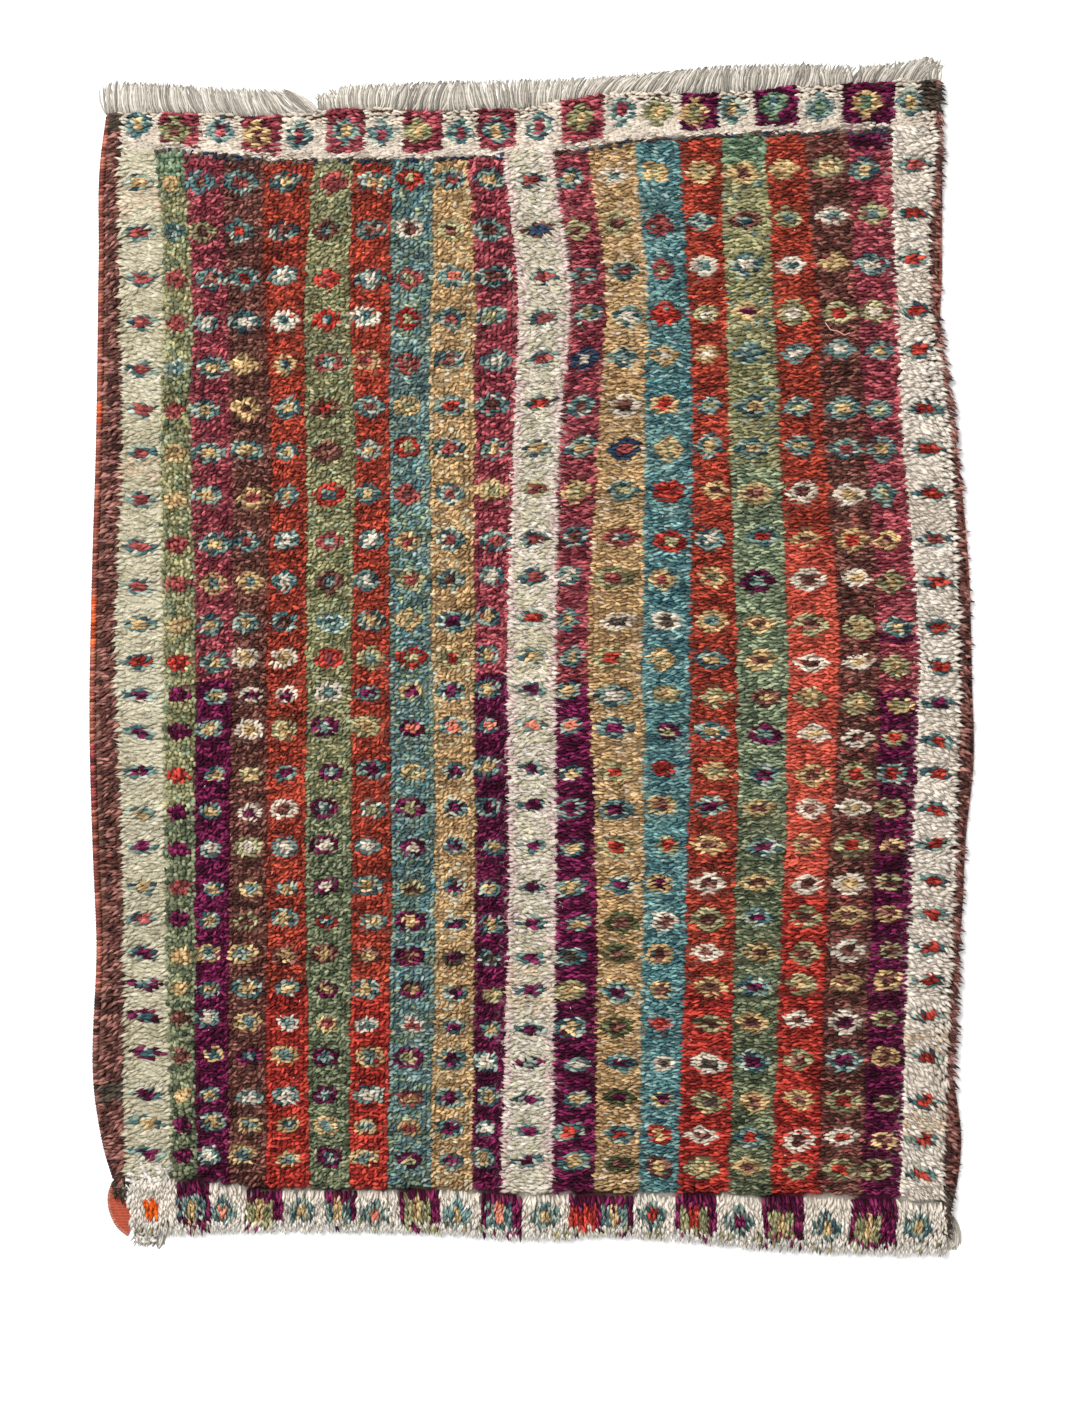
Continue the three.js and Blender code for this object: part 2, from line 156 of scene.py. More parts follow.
def linear(colour):
    """A colour as read, 0 to 255, in the linear light that Blender reckons with.

    The numbers are those of the standard curve for screens."""
    share = np.asarray(colour, float) / 255
    return np.where(share <= 0.04045, share / 12.92, ((share + 0.055) / 1.055) ** 2.4)


def rgba(colour):
    return (*linear(colour), 1.0)


def plain(colour):
    """The paint of a finish that has one even colour and no relief."""
    return lambda tree: (rgba(colour), None)


def finish(name, paint, roughness, gloss=0.3):
    """A material whose paint(tree) gives its base colour and its normal."""
    material = bpy.data.materials.new(name)
    material.use_nodes = True
    tree = Tree(material.node_tree)
    tree.made.nodes.clear()
    colour, normal = paint(tree)
    inputs = {"Base Color": colour, "Roughness": roughness, "Specular IOR Level": gloss}
    if normal is not None:
        inputs["Normal"] = normal
    surface = tree.node("ShaderNodeBsdfPrincipled", None, inputs)
    tree.node("ShaderNodeOutputMaterial", None, {"Surface": surface})
    return material


# %% [markdown]
# ## Floor and light
#
# A near-white floor and soft daylight from above, a little stronger from the upper left, so that
# each tuft has a bright crown and a shaded foot.

# %% Floor and studio light
SKY_STRENGTH = 0.79
SKY_COLOUR = (1, 1, 1, 1)
KEY_WATTS = 188
KEY_PLACE = (-1.5, 1.4, 3.8)
KEY_SIZE = 1.6
KEY_TILT = (-20, -21, 0)
FLOOR_SIZE = 14
FLOOR_TONE = (253, 253, 252)
FLOOR_SHADED_TONE = (251, 251, 250)
FLOOR_PATCHES_PER_METRE = 2.0


def paint_floor(tree):
    mottle = tree.noise(tree.place(), FLOOR_PATCHES_PER_METRE)
    return tree.blend(mottle, rgba(FLOOR_TONE), rgba(FLOOR_SHADED_TONE)), None


bpy.ops.mesh.primitive_plane_add(size=FLOOR_SIZE)
floor = bpy.context.object
floor.name = "floor"
floor.data.materials.append(finish("pale floor", paint_floor, roughness=0.8))
bpy.ops.object.light_add(type="AREA", location=KEY_PLACE)
key = bpy.context.object
key.data.energy = KEY_WATTS
key.data.size = KEY_SIZE
key.rotation_euler = [math.radians(angle) for angle in KEY_TILT]
world = bpy.data.worlds.new("daylight")
world.use_nodes = True
sky = world.node_tree.nodes["Background"].inputs
sky["Strength"].default_value = SKY_STRENGTH
sky["Color"].default_value = SKY_COLOUR
bpy.context.scene.world = world
print("floor", floor.dimensions.x, "m wide, key light of", KEY_WATTS, "W")

# %% [markdown]
# ## The outline of the cloth
#
# A rug that was woven at home is never a true rectangle. Its four edges are short tables, measured
# in millimetres from the middle, with a smooth curve through their rows. Any knot has its place as
# a share of the width and a share of the length between them.

# %% Edges
LEFT_EDGE = (
    (-731, -504), (-690, -509), (-664, -519), (-634, -529), (-571, -542), (-350, -542),
    (-256, -546), (-98, -550.5), (122, -547), (248, -543), (500, -539), (626, -537), (687, -529),
)
RIGHT_EDGE = (
    (-747, 518), (-712, 519), (-665, 529), (-602, 534), (-571, 530.5), (-508, 520.5),
    (-413, 524), (-350, 533), (-224, 540.5), (-130, 549.9), (-35, 548), (122, 543),
    (217, 534), (283, 524), (320, 513), (500, 510), (658, 509), (726, 504),
)
FOOT_EDGE = (
    (-520, -714), (-464, -721), (-420, -719), (-117, -719.5), (9, -727), (84, -723),
    (185, -728), (286, -738), (412, -744.5), (519, -746),
)
HEAD_EDGE = (
    (-539, 685.5), (-420, 686.5), (-319, 682), (-262, 689), (-67, 690.5), (15, 696),
    (60, 706), (135, 712), (198, 710), (336, 719), (462, 725.5), (513, 726),
)
PILE_HEAD = 702
PILE_FOOT = -728
ROUNDS = 3


def along(table, at):
    """The smooth curve through a table of (place, value) rows, at any places."""
    places, values = np.array(table, float).T
    slopes = np.gradient(values, places)
    at = np.clip(np.asarray(at, float), places[0], places[-1])
    k = np.clip(np.searchsorted(places, at) - 1, 0, len(places) - 2)
    step = places[k + 1] - places[k]
    t = (at - places[k]) / step
    start = (1 + 2 * t) * (1 - t) ** 2 * values[k] + t * (1 - t) ** 2 * step * slopes[k]
    end = t * t * (3 - 2 * t) * values[k + 1] + t * t * (t - 1) * step * slopes[k + 1]
    return start + end


def left_edge(y):
    return along(LEFT_EDGE, y)


def right_edge(y):
    return along(RIGHT_EDGE, y)


def height_on_rug(x, share):
    """Y of a share of the length, between the foot edge and the head edge at x."""
    return along(FOOT_EDGE, x) * (1 - share) + along(HEAD_EDGE, x) * share


def share_of_length(x, y):
    foot = along(FOOT_EDGE, x)
    return (y - foot) / (along(HEAD_EDGE, x) - foot)


def edge_at_shares(edge, share):
    """X of an edge at shares of the length.

    The rows of knots rise a little from left to right, so the height is found in a few rounds."""
    y = PILE_FOOT + (PILE_HEAD - PILE_FOOT) * share
    for _ in range(ROUNDS):
        x = edge(y)
        y = height_on_rug(x, share)
    return x


heights = np.arange(-700, 700, 50)
widths = right_edge(heights) - left_edge(heights)
print(f"cloth {widths.min():.0f} to {widths.max():.0f} mm wide")

# %% [markdown]
# ## Yarns
#
# Hand-dyed wool is never one colour. Each yarn here is a short run of shades, from its lightest to
# its darkest, and a tuft falls somewhere on that run: by slow drift where a dye lot changes, and by
# chance from one tuft to the next. `grain` says how much of it is chance.

# %% Shades of each yarn
YARNS = {
    # name: grain, shades from the lightest to the darkest
    "ivory": (0.6, (231, 222, 210), (212, 202, 187), (180, 169, 152)),
    "chalk": (0.6, (238, 229, 216), (219, 207, 192), (186, 173, 157)),
    "cream": (0.6, (212, 206, 184), (193, 185, 160), (160, 152, 124)),
    "peach": (0.6, (222, 202, 178), (204, 182, 156), (176, 152, 126)),
    "blush": (0.7, (226, 206, 198), (206, 184, 176), (172, 148, 140)),
    "bone": (0.7, (236, 228, 212), (206, 192, 174), (152, 136, 120)),
    "lint": (0.9, (226, 221, 212), (205, 198, 187), (166, 158, 146)),
    "red": (0.75, (230, 100, 74), (147, 60, 46), (58, 18, 14)),
    "scarlet": (0.75, (236, 116, 92), (182, 80, 64), (92, 32, 27)),
    "lower red": (0.75, (236, 92, 74), (150, 44, 38), (60, 15, 15)),
    "raspberry": (0.8, (224, 120, 126), (132, 55, 65), (56, 20, 28)),
    "rose": (0.9, (194, 98, 90), (140, 68, 66), (84, 36, 40)),
    "aubergine": (0.8, (158, 52, 104), (78, 12, 47), (28, 4, 18)),
    "walnut": (0.8, (174, 118, 104), (95, 55, 48), (38, 24, 22)),
    "guard wool": (0.9, (184, 128, 116), (108, 67, 60), (46, 30, 29)),
    "dark": (0.8, (112, 98, 84), (72, 62, 53), (40, 34, 32)),
    "sage": (0.8, (198, 190, 146), (142, 138, 100), (78, 82, 54)),
    "green sage": (0.85, (170, 172, 136), (104, 112, 86), (44, 54, 40)),
    "leaf": (0.85, (186, 192, 156), (116, 128, 102), (54, 68, 52)),
    "olive": (0.9, (208, 198, 152), (150, 142, 106), (82, 80, 56)),
    "moss": (0.9, (122, 124, 88), (78, 80, 54), (42, 44, 30)),
    "green": (0.8, (160, 174, 140), (104, 126, 100), (50, 72, 58)),
    "teal": (0.85, (158, 176, 164), (102, 122, 118), (46, 72, 80)),
    "bright teal": (0.85, (150, 192, 186), (85, 126, 128), (32, 64, 76)),
    "gold": (0.75, (236, 202, 152), (185, 153, 109), (118, 88, 58)),
    "old gold": (0.85, (232, 202, 152), (186, 156, 110), (114, 90, 60)),
    "blue": (1.0, (186, 190, 174), (124, 146, 135), (68, 100, 102), (34, 52, 62)),
    "sky": (0.9, (162, 184, 176), (104, 138, 138), (52, 86, 96)),
    "navy": (0.8, (66, 84, 104), (38, 54, 78), (22, 32, 52)),
    "orange": (0.7, (236, 124, 74), (204, 86, 48), (150, 58, 36)),
    "salmon": (0.7, (236, 160, 132), (212, 126, 102), (168, 90, 74)),
    "flame": (0.7, (255, 128, 48), (242, 92, 20), (190, 62, 16)),
    "brick": (0.9, (200, 126, 104), (148, 82, 68), (96, 50, 44)),
    "warp": (1.0, (220, 212, 199), (189, 181, 168), (130, 124, 115)),
}
PALE_YARNS = ("ivory", "chalk", "cream", "peach", "blush", "lint", "warp")
# how light a tuft's root is painted, as painted shade, in pale and in dark wool
PALE_ROOT_PAINTED_SHADE = 0.9
DARK_ROOT_PAINTED_SHADE = 0.5
SEED = 26
LETTERS = {
    # how the tables below write a yarn
    "i": "chalk", "r": "raspberry", "R": "lower red", "a": "aubergine", "w": "walnut", "k": "dark",
    "s": "sage", "e": "green", "t": "teal", "g": "old gold", "b": "blue", "y": "sky", "n": "navy",
    "o": "salmon", "m": "moss",
}
FIELD_LETTERS = LETTERS | {"i": "bone", "s": "olive", "r": "rose"}
YARN = {name: number for number, name in enumerate(YARNS)}
random = np.random.default_rng(SEED)


def wool_colour(yarn, share, spread=0.18):
    """Colours of strands: each one's yarn, its share of the run of shades, and some chance.

    The fourth column is the root's painted shade, lighter in pale wool that lights its own root."""
    found = np.full((len(yarn), 4), DARK_ROOT_PAINTED_SHADE)
    for name, (_, *run) in YARNS.items():
        mine = yarn == YARN[name]
        steps = np.linspace(0, 1, len(run))
        for channel, values in enumerate(linear(run).T):
            found[mine, channel] = np.interp(share[mine], steps, values)
        if name in PALE_YARNS:
            found[mine, 3] = PALE_ROOT_PAINTED_SHADE
    found[:, :3] *= random.uniform(1 - spread, 1 + spread, len(yarn))[:, None]
    return found


print(len(YARNS), "yarns")

# %% [markdown]
# ## Stripes
#
# The pile is laid out in upright stripes between ivory borders, with a dark guard strip outside
# each border. The weaver counted the knots of a stripe, but the warps drew together and apart, so
# a table gives each stripe's right-hand side at six heights. `order` names the yarns of its
# rosettes from the head down: petals and then heart, a number in front saying how many alike.

# %% Stripes and the order of their rosettes
HEIGHTS = (-649, -243, -1, 295, 466, 629)
STRIPES = (
    # name, yarn, pile, right-hand side at those heights, order of the rosettes
    ("guard_left", "guard wool", "shaggy", (-515, -518, -527, -518, -522, -522), ""),
    ("border_left", "cream", "wisps", (-456, -465, -467, -470, -466, -475),
     "bg 9br bg bR 3ba bg ba bg br ba 3ab ba bg ba"),
    ("sage_1", "sage", "knobbly", (-423, -426, -425, -431, -430, -440),
     "gg bb 2rr bb rr 2gg 2rr gg RR 2aa RR 2aa rr aa 2gg 2ww gg 2aa"),
    ("raspberry_1", "raspberry", "upright", (-384, -383, -379, -381, -387, -391),
     "yw sw bw bi 5bg gt 6bg bi 2bg gb bg bi gb 2bg bi"),
    ("walnut_1", "walnut", "upright", (-335, -335, -336, -330, -339, -339),
     "br 2bR bi gg gw bg gr br gt bg ig ia ig sg ia si gt sw gb bg gt ab ti 2gt"),
    ("red_1", "red", "upright", (-281, -286, -285, -286, -287, -276),
     "bg bw bi ib gb 3bg 2bi bw ig ia sg ba iw ti 2bg wg bg it gt bi gb gt"),
    ("sage_2", "sage", "upright", (-232, -229, -229, -224, -232, -226),
     "rr wb Rr Rb rb wR ww Rb rb wb bb Rr ib 3ab 2ai Rb wg ag gr 2ab gt ab"),
    ("red_2", "red", "upright", (-183, -179, -180, -181, -179, -179),
     "bg bw bi ib gr bw 2bg 2bi bg st ba sg ba bs ti 2bg wg bg it gt bi gb gt"),
    ("teal_1", "teal", "upright", (-130, -123, -127, -130, -127, -125),
     "Rs iw rs Rs rw gs Rs rw gr sr gs Rs ga ao gs as ai sw ag aw ag ir as rg gr as"),
    ("gold_1", "gold", "upright", (-76, -72, -73, -74, -72, -82),
     "br sw bo br bw bR 3br bw ba sR ba bo 5ba ka 6ba"),
    ("raspberry_2", "raspberry", "upright", (-40, -29, -32, -23, -19, -37),
     "bg 2bw bs ti bw bg gs br bi 3bg bo bg ba 3bg bk sg bg bi bg bi bg"),
    ("ivory_middle", "ivory", "wisps", (25, 29, 29, 35, 47, 25),
     "br wn 3br bR bg sr 2br bR bg ba bo 8ba ab 3ba"),
    ("raspberry_3", "raspberry", "combed", (78, 78, 69, 84, 91, 69),
     "bg sw bw bs ni bw bg gs bw bi 3bg bo bg ba 3bg bk sg bg bi bg bR bg"),
    ("gold_2", "gold", "combed", (134, 140, 139, 141, 144, 131),
     "ib sw br bi bt iw nr bs rb sr ik sR bi ba sR ba sR ba 2mw ba mw ba ma bR mw"),
    ("teal_2", "bright teal", "combed", (183, 195, 198, 202, 195, 186),
     "gs rr rs RR gi gR gs RR Rs gr ik gs sg as RR gw sR ga iw 2gw rR ik ga Rg wg"),
    ("red_3", "red", "combed", (247, 256, 258, 247, 243, 238),
     "gs bt ib si gi bs bg gw bi gs gb bg sg bg gs ba gw iw sw iw gw sw ik sk iw sg"),
    ("sage_3", "sage", "combed", (302, 318, 321, 311, 304, 295),
     "gw wb bi ga bt 2bg gw bR ab 2gw wg ab ba gw ba gw ba gw ba gw ba gw bR gw"),
    ("red_4", "red", "combed", (360, 373, 386, 365, 357, 343),
     "gg st ib si ti bs bg iw gw iw sw iw sg ig gw iw gw iw 2sw sg iw sw gw iw sk"),
    ("walnut_2", "walnut", "combed", (415, 430, 437, 420, 408, 398),
     "sg it gg sR ti bg br ig gR ig sg ig sg iw sR ig sR ig gw iw gw ia ba sR iR sR"),
    ("raspberry_4", "raspberry", "combed", (463, 478, 486, 464, 457, 452),
     "bg st ti si tg ts tg ts gw sg bg sg gs sR bR sw gw sw gw sw gw sw gw sw gw sw"),
    ("border_right", "chalk", "wisps", (518, 533, 538, 525, 500, 508),
     "br 7bR br 3bR ba 13bR"),
    ("guard_right", "guard wool", "shaggy", None, ""),
)


def rosette_order(text):
    """The pairs of yarns that a line of order stands for."""
    found = []
    for word in text.split():
        found += [word[-2:]] * int(word[:-2] or 1)
    return found


for name, _, _, _, order in STRIPES:
    if order:
        print(name, len(rosette_order(order)), end="; ")
print()

# %% [markdown]
# ## Rows of rosettes
#
# Twenty-six rows of rosettes run across all stripes. They were beaten down unevenly and sag a
# little, so each row has its height at the left border, at the middle and at the right border.

# %% Heights of the rows
ROSETTE_ROWS = (
    (597, 602, 621), (536, 539, 561), (475, 479, 503), (422, 427, 437), (364, 374, 386),
    (312, 318, 312), (255, 265, 262), (198, 210, 204), (141, 149, 147), (89, 100, 96),
    (40, 48, 35), (-6, 1, -13), (-49, -43, -62), (-96, -86, -106), (-149, -142, -149),
    (-197, -190, -194), (-243, -239, -239), (-292, -291, -284), (-330, -338, -323),
    (-374, -381, -367), (-415, -425, -408), (-455, -470, -454), (-499, -514, -505),
    (-551, -558, -561), (-586, -598, -612), (-627, -638, -653),
)
ROW_PLACES = (-497, 0, 525)
ROUND = ("..ppp..", ".ppppp.", "pphhhpp", "pphhhpp", "pphhhpp", ".ppppp.", "..ppp..")
NARROW = ("..pp..", ".pppp.", "pphhpp", "pphhpp", "pphhpp", ".pppp.", "..pp..")
WIDE = ("..ppp..", ".ppppp.", "pphhhpp", "pphhhpp", ".ppppp.", "..ppp..")
OVAL = (".pppp.", "pphhpp", "phhhpp", "pphhhp", "pphhpp", ".pppp.")
SMALL = (".ppp.", "pphpp", "phhhp", "phhhp", ".ppp.")
BLOOM = ("..ppp..", ".phhhp.", "pphhhhp", ".phhhpp", "..ppp..")
FLAT_BLOOM = ("..ppp..", "pphhhp.", "pphhhpp", "..phhp.")
DOT = (".hhh.", "hhhhh", "hhhhh", "hhhh.", ".hhh.")


def row_height(row, x):
    return np.interp(x, ROW_PLACES, ROSETTE_ROWS[row])


print(len(ROSETTE_ROWS), "rows of rosettes")

# %% [markdown]
# ## The knots
#
# Now the cloth can be planned knot by knot, as arrays: one row of knots across the rug after
# another, each with its place, its yarn, and the kind of pile it belongs to. The stripes come
# first, then the band of blocks across each end.

# %% Knots of one strip
KNOT_WIDE = 5.8
KNOT_LONG = 4.0
MISSING = 0.05
KNOT_ROWS = round((PILE_HEAD - PILE_FOOT) / KNOT_LONG)
# the line under the head band and the seam over the foot band, in rows of x and y
HEAD_LINE = (
    (-540, 645), (-474, 644), (-357, 634), (-220, 631), (-105, 634), (-29, 639), (34, 644),
    (84, 651), (198, 661), (311, 666), (425, 669), (540, 672),
)
FOOT_LINE = (
    (-540, -655), (-430, -661), (-330, -673), (-140, -673), (-29, -678), (200, -678), (540, -688),
)
LINE_WIDE = 8
SEAM = 4
SHADOW_LINE = 5
LEAST_COLUMNS = 2
LATTICE = (97, 89)
LATTICE_START = (997.3, 991.7)


def drift(x, y, size, seed):
    """Slow unevenness from -1 to 1, in patches about size wide."""
    lattice = np.random.default_rng(seed).uniform(-1, 1, LATTICE)
    ax, ay = np.asarray(x) / size + LATTICE_START[0], np.asarray(y) / size + LATTICE_START[1]
    ix, iy = np.floor(ax).astype(int), np.floor(ay).astype(int)
    fx, fy = (t * t * (3 - 2 * t) for t in (ax - ix, ay - iy))

    def corner(i, j):
        return lattice[(ix + i) % LATTICE[0], (iy + j) % LATTICE[1]]

    low = corner(0, 0) * (1 - fx) + corner(1, 0) * fx
    high = corner(0, 1) * (1 - fx) + corner(1, 1) * fx
    return low * (1 - fy) + high * fy


def knot_row(rows):
    """The row of knots nearest to a height that is counted in rows."""
    return min(max(round(rows), 0), KNOT_ROWS - 1)


class Strip:
    """A strip of knots between two lines that run up the rug."""

    def __init__(self, name, left, right, yarn, pile):
        share = (np.arange(KNOT_ROWS) + 0.5) / KNOT_ROWS
        self.name, self.pile = name, pile
        self.left, self.right = edge_at_shares(left, share), edge_at_shares(right, share)
        width = float(np.mean(self.right - self.left))
        self.columns = max(LEAST_COLUMNS, round(width / KNOT_WIDE))
        across = (np.arange(self.columns) + 0.5) / self.columns
        self.x = self.left[:, None] + across * (self.right - self.left)[:, None]
        self.y = height_on_rug(self.x, share[:, None])
        self.yarn = np.full(self.x.shape, YARN[yarn])
        self.kept = np.ones(self.x.shape, bool)

    def chart(self, chart, x, y, petals, heart):
        """Works a small charted figure round the knot nearest to a place."""
        row = knot_row(float(share_of_length(x, y)) * KNOT_ROWS - 0.5)
        column = int(np.argmin(np.abs(self.x[row] - x)))
        figure = list(chart)
        if random.random() < 0.5:
            figure = figure[::-1]
        for a, line in enumerate(figure):
            j = row + len(figure) // 2 - a
            for b, mark in enumerate(line):
                i = column + b - len(line) // 2
                if mark == "p" and random.random() < MISSING:
                    continue
                if mark != "." and 0 <= i < self.columns and 0 <= j < KNOT_ROWS:
                    self.yarn[j, i] = YARN[petals if mark == "p" else heart]


print(KNOT_ROWS, "rows of knots")

# %% Knots of the stripes
TALL_ROWS = 12
TALL_FIGURES = (ROUND, NARROW, NARROW, OVAL)
FLAT_FIGURES = (OVAL, SMALL)
ROOMY_STRIPES = ("gold_2", "red_3", "red_4", "walnut_2", "sage_3")
LEAST_GUARD = 6


def side_at(places):
    """The line through a stripe's right-hand sides at the six heights."""
    return lambda y: along(tuple(zip(HEIGHTS, places)), y)


def outer_side(left):
    """The right edge of the rug, but no nearer to the last border than a guard is wide."""
    return lambda y: np.maximum(right_edge(y), left(y) + LEAST_GUARD)


def figures_of(name, pile, row):
    """The charts that a stripe has to choose from in a row of rosettes."""
    tall = row < TALL_ROWS
    if name == "sage_1":
        return (DOT,)
    if pile == "wisps":
        return (BLOOM,) if tall else (FLAT_BLOOM,)
    if name in ROOMY_STRIPES:
        return (WIDE, ROUND)
    return TALL_FIGURES if tall else FLAT_FIGURES


def stripes():
    found = []
    left = left_edge
    for name, yarn, pile, side, order in STRIPES:
        right = side_at(side) if side else outer_side(left)
        strip = Strip(name, left, right, yarn, pile)
        for row, pair in enumerate(rosette_order(order)):
            middle = (strip.left + strip.right) / 2
            guess = row_height(row, float(middle[KNOT_ROWS // 2]))
            at = knot_row(float(share_of_length(middle[0], guess)) * KNOT_ROWS)
            x = float(middle[at])
            y = float(row_height(row, x))
            figures = figures_of(name, pile, row)
            figure = figures[random.integers(len(figures))]
            strip.chart(figure, x, y, FIELD_LETTERS[pair[0]], FIELD_LETTERS[pair[1]])
        found.append(strip)
        left = right
    return found


strips = stripes()
for strip in strips:
    strip.kept &= strip.y < along(HEAD_LINE, strip.x) - LINE_WIDE / 2
    strip.kept &= strip.y > along(FOOT_LINE, strip.x) + SEAM
print(sum(int(strip.kept.sum()) for strip in strips), "knots in the stripes")

# %% [markdown]
# ## Changes of yarn
#
# Half-way down the raspberry ran out and the weaver went on in aubergine. The reds below the
# middle are brighter. The first knots under the head band are a dark line, partly navy yarn and
# partly painted shadow of the gap under the band. Such changes are short tables too: stripe, from
# which height, down to which, and the yarn. A second table mixes other yarns into a stripe in
# patches, as when a weaver uses up what is left in the basket.

# %% Changes of yarn along the stripes
CHANGES = (
    ("raspberry_1", -31, -700, "aubergine"),
    ("raspberry_2", -19, -700, "aubergine"),
    ("raspberry_3", -31, -700, "aubergine"),
    ("raspberry_4", 26, 16, "aubergine"),
    ("raspberry_4", -42, -700, "aubergine"),
    ("raspberry_4", 700, 639, "aubergine"),
    ("sage_1", 640, 590, "green"),
    ("sage_3", 660, 620, "green"),
    ("sage_3", 240, -200, "leaf"),
    ("sage_3", -200, -700, "green sage"),
    ("sage_1", -200, -700, "green sage"),
    ("sage_2", -200, -700, "green sage"),
    ("red_1", -420, -700, "lower red"),
    ("red_2", -420, -700, "lower red"),
    ("red_3", -420, -700, "lower red"),
    ("red_4", 150, -300, "scarlet"),
    ("red_4", -300, -700, "lower red"),
    ("guard_left", 690, 660, "dark"),
    ("guard_left", 78, 52, "walnut"),
    ("guard_left", -245, -270, "walnut"),
    ("guard_left", -538, -558, "dark"),
    ("guard_right", 720, 690, "dark"),
    ("guard_right", -668, -760, "dark"),
    ("border_left", 592, 556, "peach"),
    ("border_left", 250, 225, "peach"),
    ("ivory_middle", -390, -450, "peach"),
    ("border_right", -560, -600, "peach"),
    ("border_right", -470, -490, "peach"),
)
MIXES = (
    # stripe, yarn mixed in, how much of it
    ("teal_1", "sky", 0.22), ("teal_1", "leaf", 0.14), ("teal_1", "green", 0.08),
    ("teal_2", "sky", 0.2), ("sage_1", "leaf", 0.16), ("sage_2", "leaf", 0.16),
    ("sage_3", "sage", 0.12), ("sage_3", "teal", 0.1), ("gold_1", "cream", 0.08),
    ("gold_2", "peach", 0.08), ("walnut_2", "rose", 0.1),
)
MIX_PATCH = 24
RAGGED = 5
PEACH_SHARE = 0.4
CREAM_SHARE = 0.5
BLUSH_SHARES = ((0, 0.8), (1, 0.4), (-2, 0.4), (-1, 0.8))
SHADOW_LINE_SHARE = 0.8
NAVY_SHARE = 0.3
STANDING = ("upright", "knobbly", "combed")
for strip in strips:
    ground = YARN[next(row[1] for row in STRIPES if row[0] == strip.name)]
    for name, high, low, yarn in CHANGES:
        if name == strip.name:
            y = strip.y + random.uniform(-RAGGED, RAGGED, strip.y.shape)
            changed = (strip.yarn == ground) & (y < high) & (y >= low)
            if yarn == "peach":
                changed &= random.random(y.shape) < PEACH_SHARE
            strip.yarn[changed] = YARN[yarn]
    for name, yarn, share in MIXES:
        if name == strip.name:
            patchy = share * (1 + drift(strip.x, strip.y, MIX_PATCH, YARN[yarn]))
            mixed = random.random(strip.yarn.shape) < patchy
            strip.yarn[mixed & (strip.yarn == ground)] = YARN[yarn]
    if strip.name == "ivory_middle":
        for column, share in BLUSH_SHARES:
            pink = random.random(KNOT_ROWS) < share
            strip.yarn[pink & (strip.yarn[:, column] == ground), column] = YARN["blush"]
        creamy = random.random(strip.yarn.shape) < CREAM_SHARE
        strip.yarn[creamy & (strip.yarn == ground)] = YARN["cream"]
    # the first knots under the head band: dark wool as painted shadow of the gap under the band,
    # some navy yarn
    if strip.pile in STANDING:
        line = along(HEAD_LINE, strip.x) - LINE_WIDE / 2 - SHADOW_LINE
        edge = (strip.y > line) & (random.random(strip.x.shape) < SHADOW_LINE_SHARE)
        blue_black = random.random(edge.sum()) < NAVY_SHARE
        strip.yarn[edge] = np.where(blue_black, YARN["navy"], YARN["dark"])
print(len(CHANGES), "changes of yarn and", len(MIXES), "yarns mixed in")

# %% [markdown]
# ## The bands across the ends
#
# A band of blocks, pale and dark by turns, closes each end, and a small figure sits in nearly every
# block. The tables give each block's right-hand side and its yarns: ground, petals and heart. The
# last rows of knots over the foot are undyed, and one block at the left has a flame-coloured spot.

# %% Blocks of the two bands
HEAD_BLOCKS = (
    (-472, "ibg"), (-423, "rsw"), (-365, "itr"), (-319, "rgw"), (-260, "ibr"), (-212, "rbg"),
    (-164, "ibr"), (-116, "rsg"), (-67, "ibr"), (-21, "rbg"), (38, "ibr"), (91, "rsg"),
    (135, "ibr"), (188, "isg"), (232, "ags"), (280, "ibg"), (333, "aet"), (391, "ite"),
    (452, "age"), (507, "ibg"),
)
FOOT_BLOCKS = (
    (-447, "iii"), (-407, "abg"), (-363, "ibo"), (-315, "asg"), (-262, "ibg"), (-220, "abg"),
    (-168, "ibo"), (-117, "asg"), (-64, "iyg"), (-14, "abo"), (47, "ibg"), (84, "aRR"),
    (126, "atg"), (181, "ibR"), (233, "asR"), (289, "iba"), (343, "asg"), (399, "ibg"),
    (456, "asg"), (522, "ibg"),
)
CROSS = ("..pp..", "..pp..", ".pppp.", "pphhpp", "pphhpp", "pphhpp", "pphhpp", ".pppp.", "..pp..")
TALL = (".pppp.", "pppppp", "pphhpp", "pphhpp", "pphhpp", "pphhpp", "pphhpp", "pp.hpp", "p.hh.p")
SPOT = (".h.", "hhh", "hhh", "hhh", "hhh", "hhh", ".h.")
FLAME_PLACE = (-478, -690)
DARK_CORNER = (492, 692)
HEAD_START = -522
FOOT_START = -507
FOOT_RAISED = 1
TIP_ROW = 12.0
TIP_SHARE = 0.8
OLIVE_SHARE = 0.12
GUARD_FEET = {"guard_left": -672, "guard_right": -728}


def upright_at(x):
    """A straight line up the rug."""
    return lambda y: x + 0 * y


def band(name, blocks, first, middle_of, pile):
    """A strip across the rug, with a ground for each block first and then the figures on them."""
    strip = Strip(name, upright_at(first), upright_at(blocks[-1][0]), "chalk", pile)
    sides = [first, *(right for right, _ in blocks)]
    for left, (right, letters) in zip(sides, blocks):
        inside = (strip.x > left) & (strip.x <= right)
        strip.yarn[inside] = YARN[LETTERS[letters[0]]]
    for left, (right, letters) in zip(sides, blocks):
        ground, petals, heart = (LETTERS[letter] for letter in letters)
        x = (left + right) / 2
        figure = TALL if ground == "aubergine" and name == "band_foot" else CROSS
        if ground != petals:
            strip.chart(figure, x, float(middle_of(x)), petals, heart)
    return strip


def head_middle(x):
    return (along(HEAD_EDGE, x) + along(HEAD_LINE, x) + LINE_WIDE / 2) / 2


def foot_middle(x):
    return (along(FOOT_EDGE, x) + along(FOOT_LINE, x)) / 2 + FOOT_RAISED


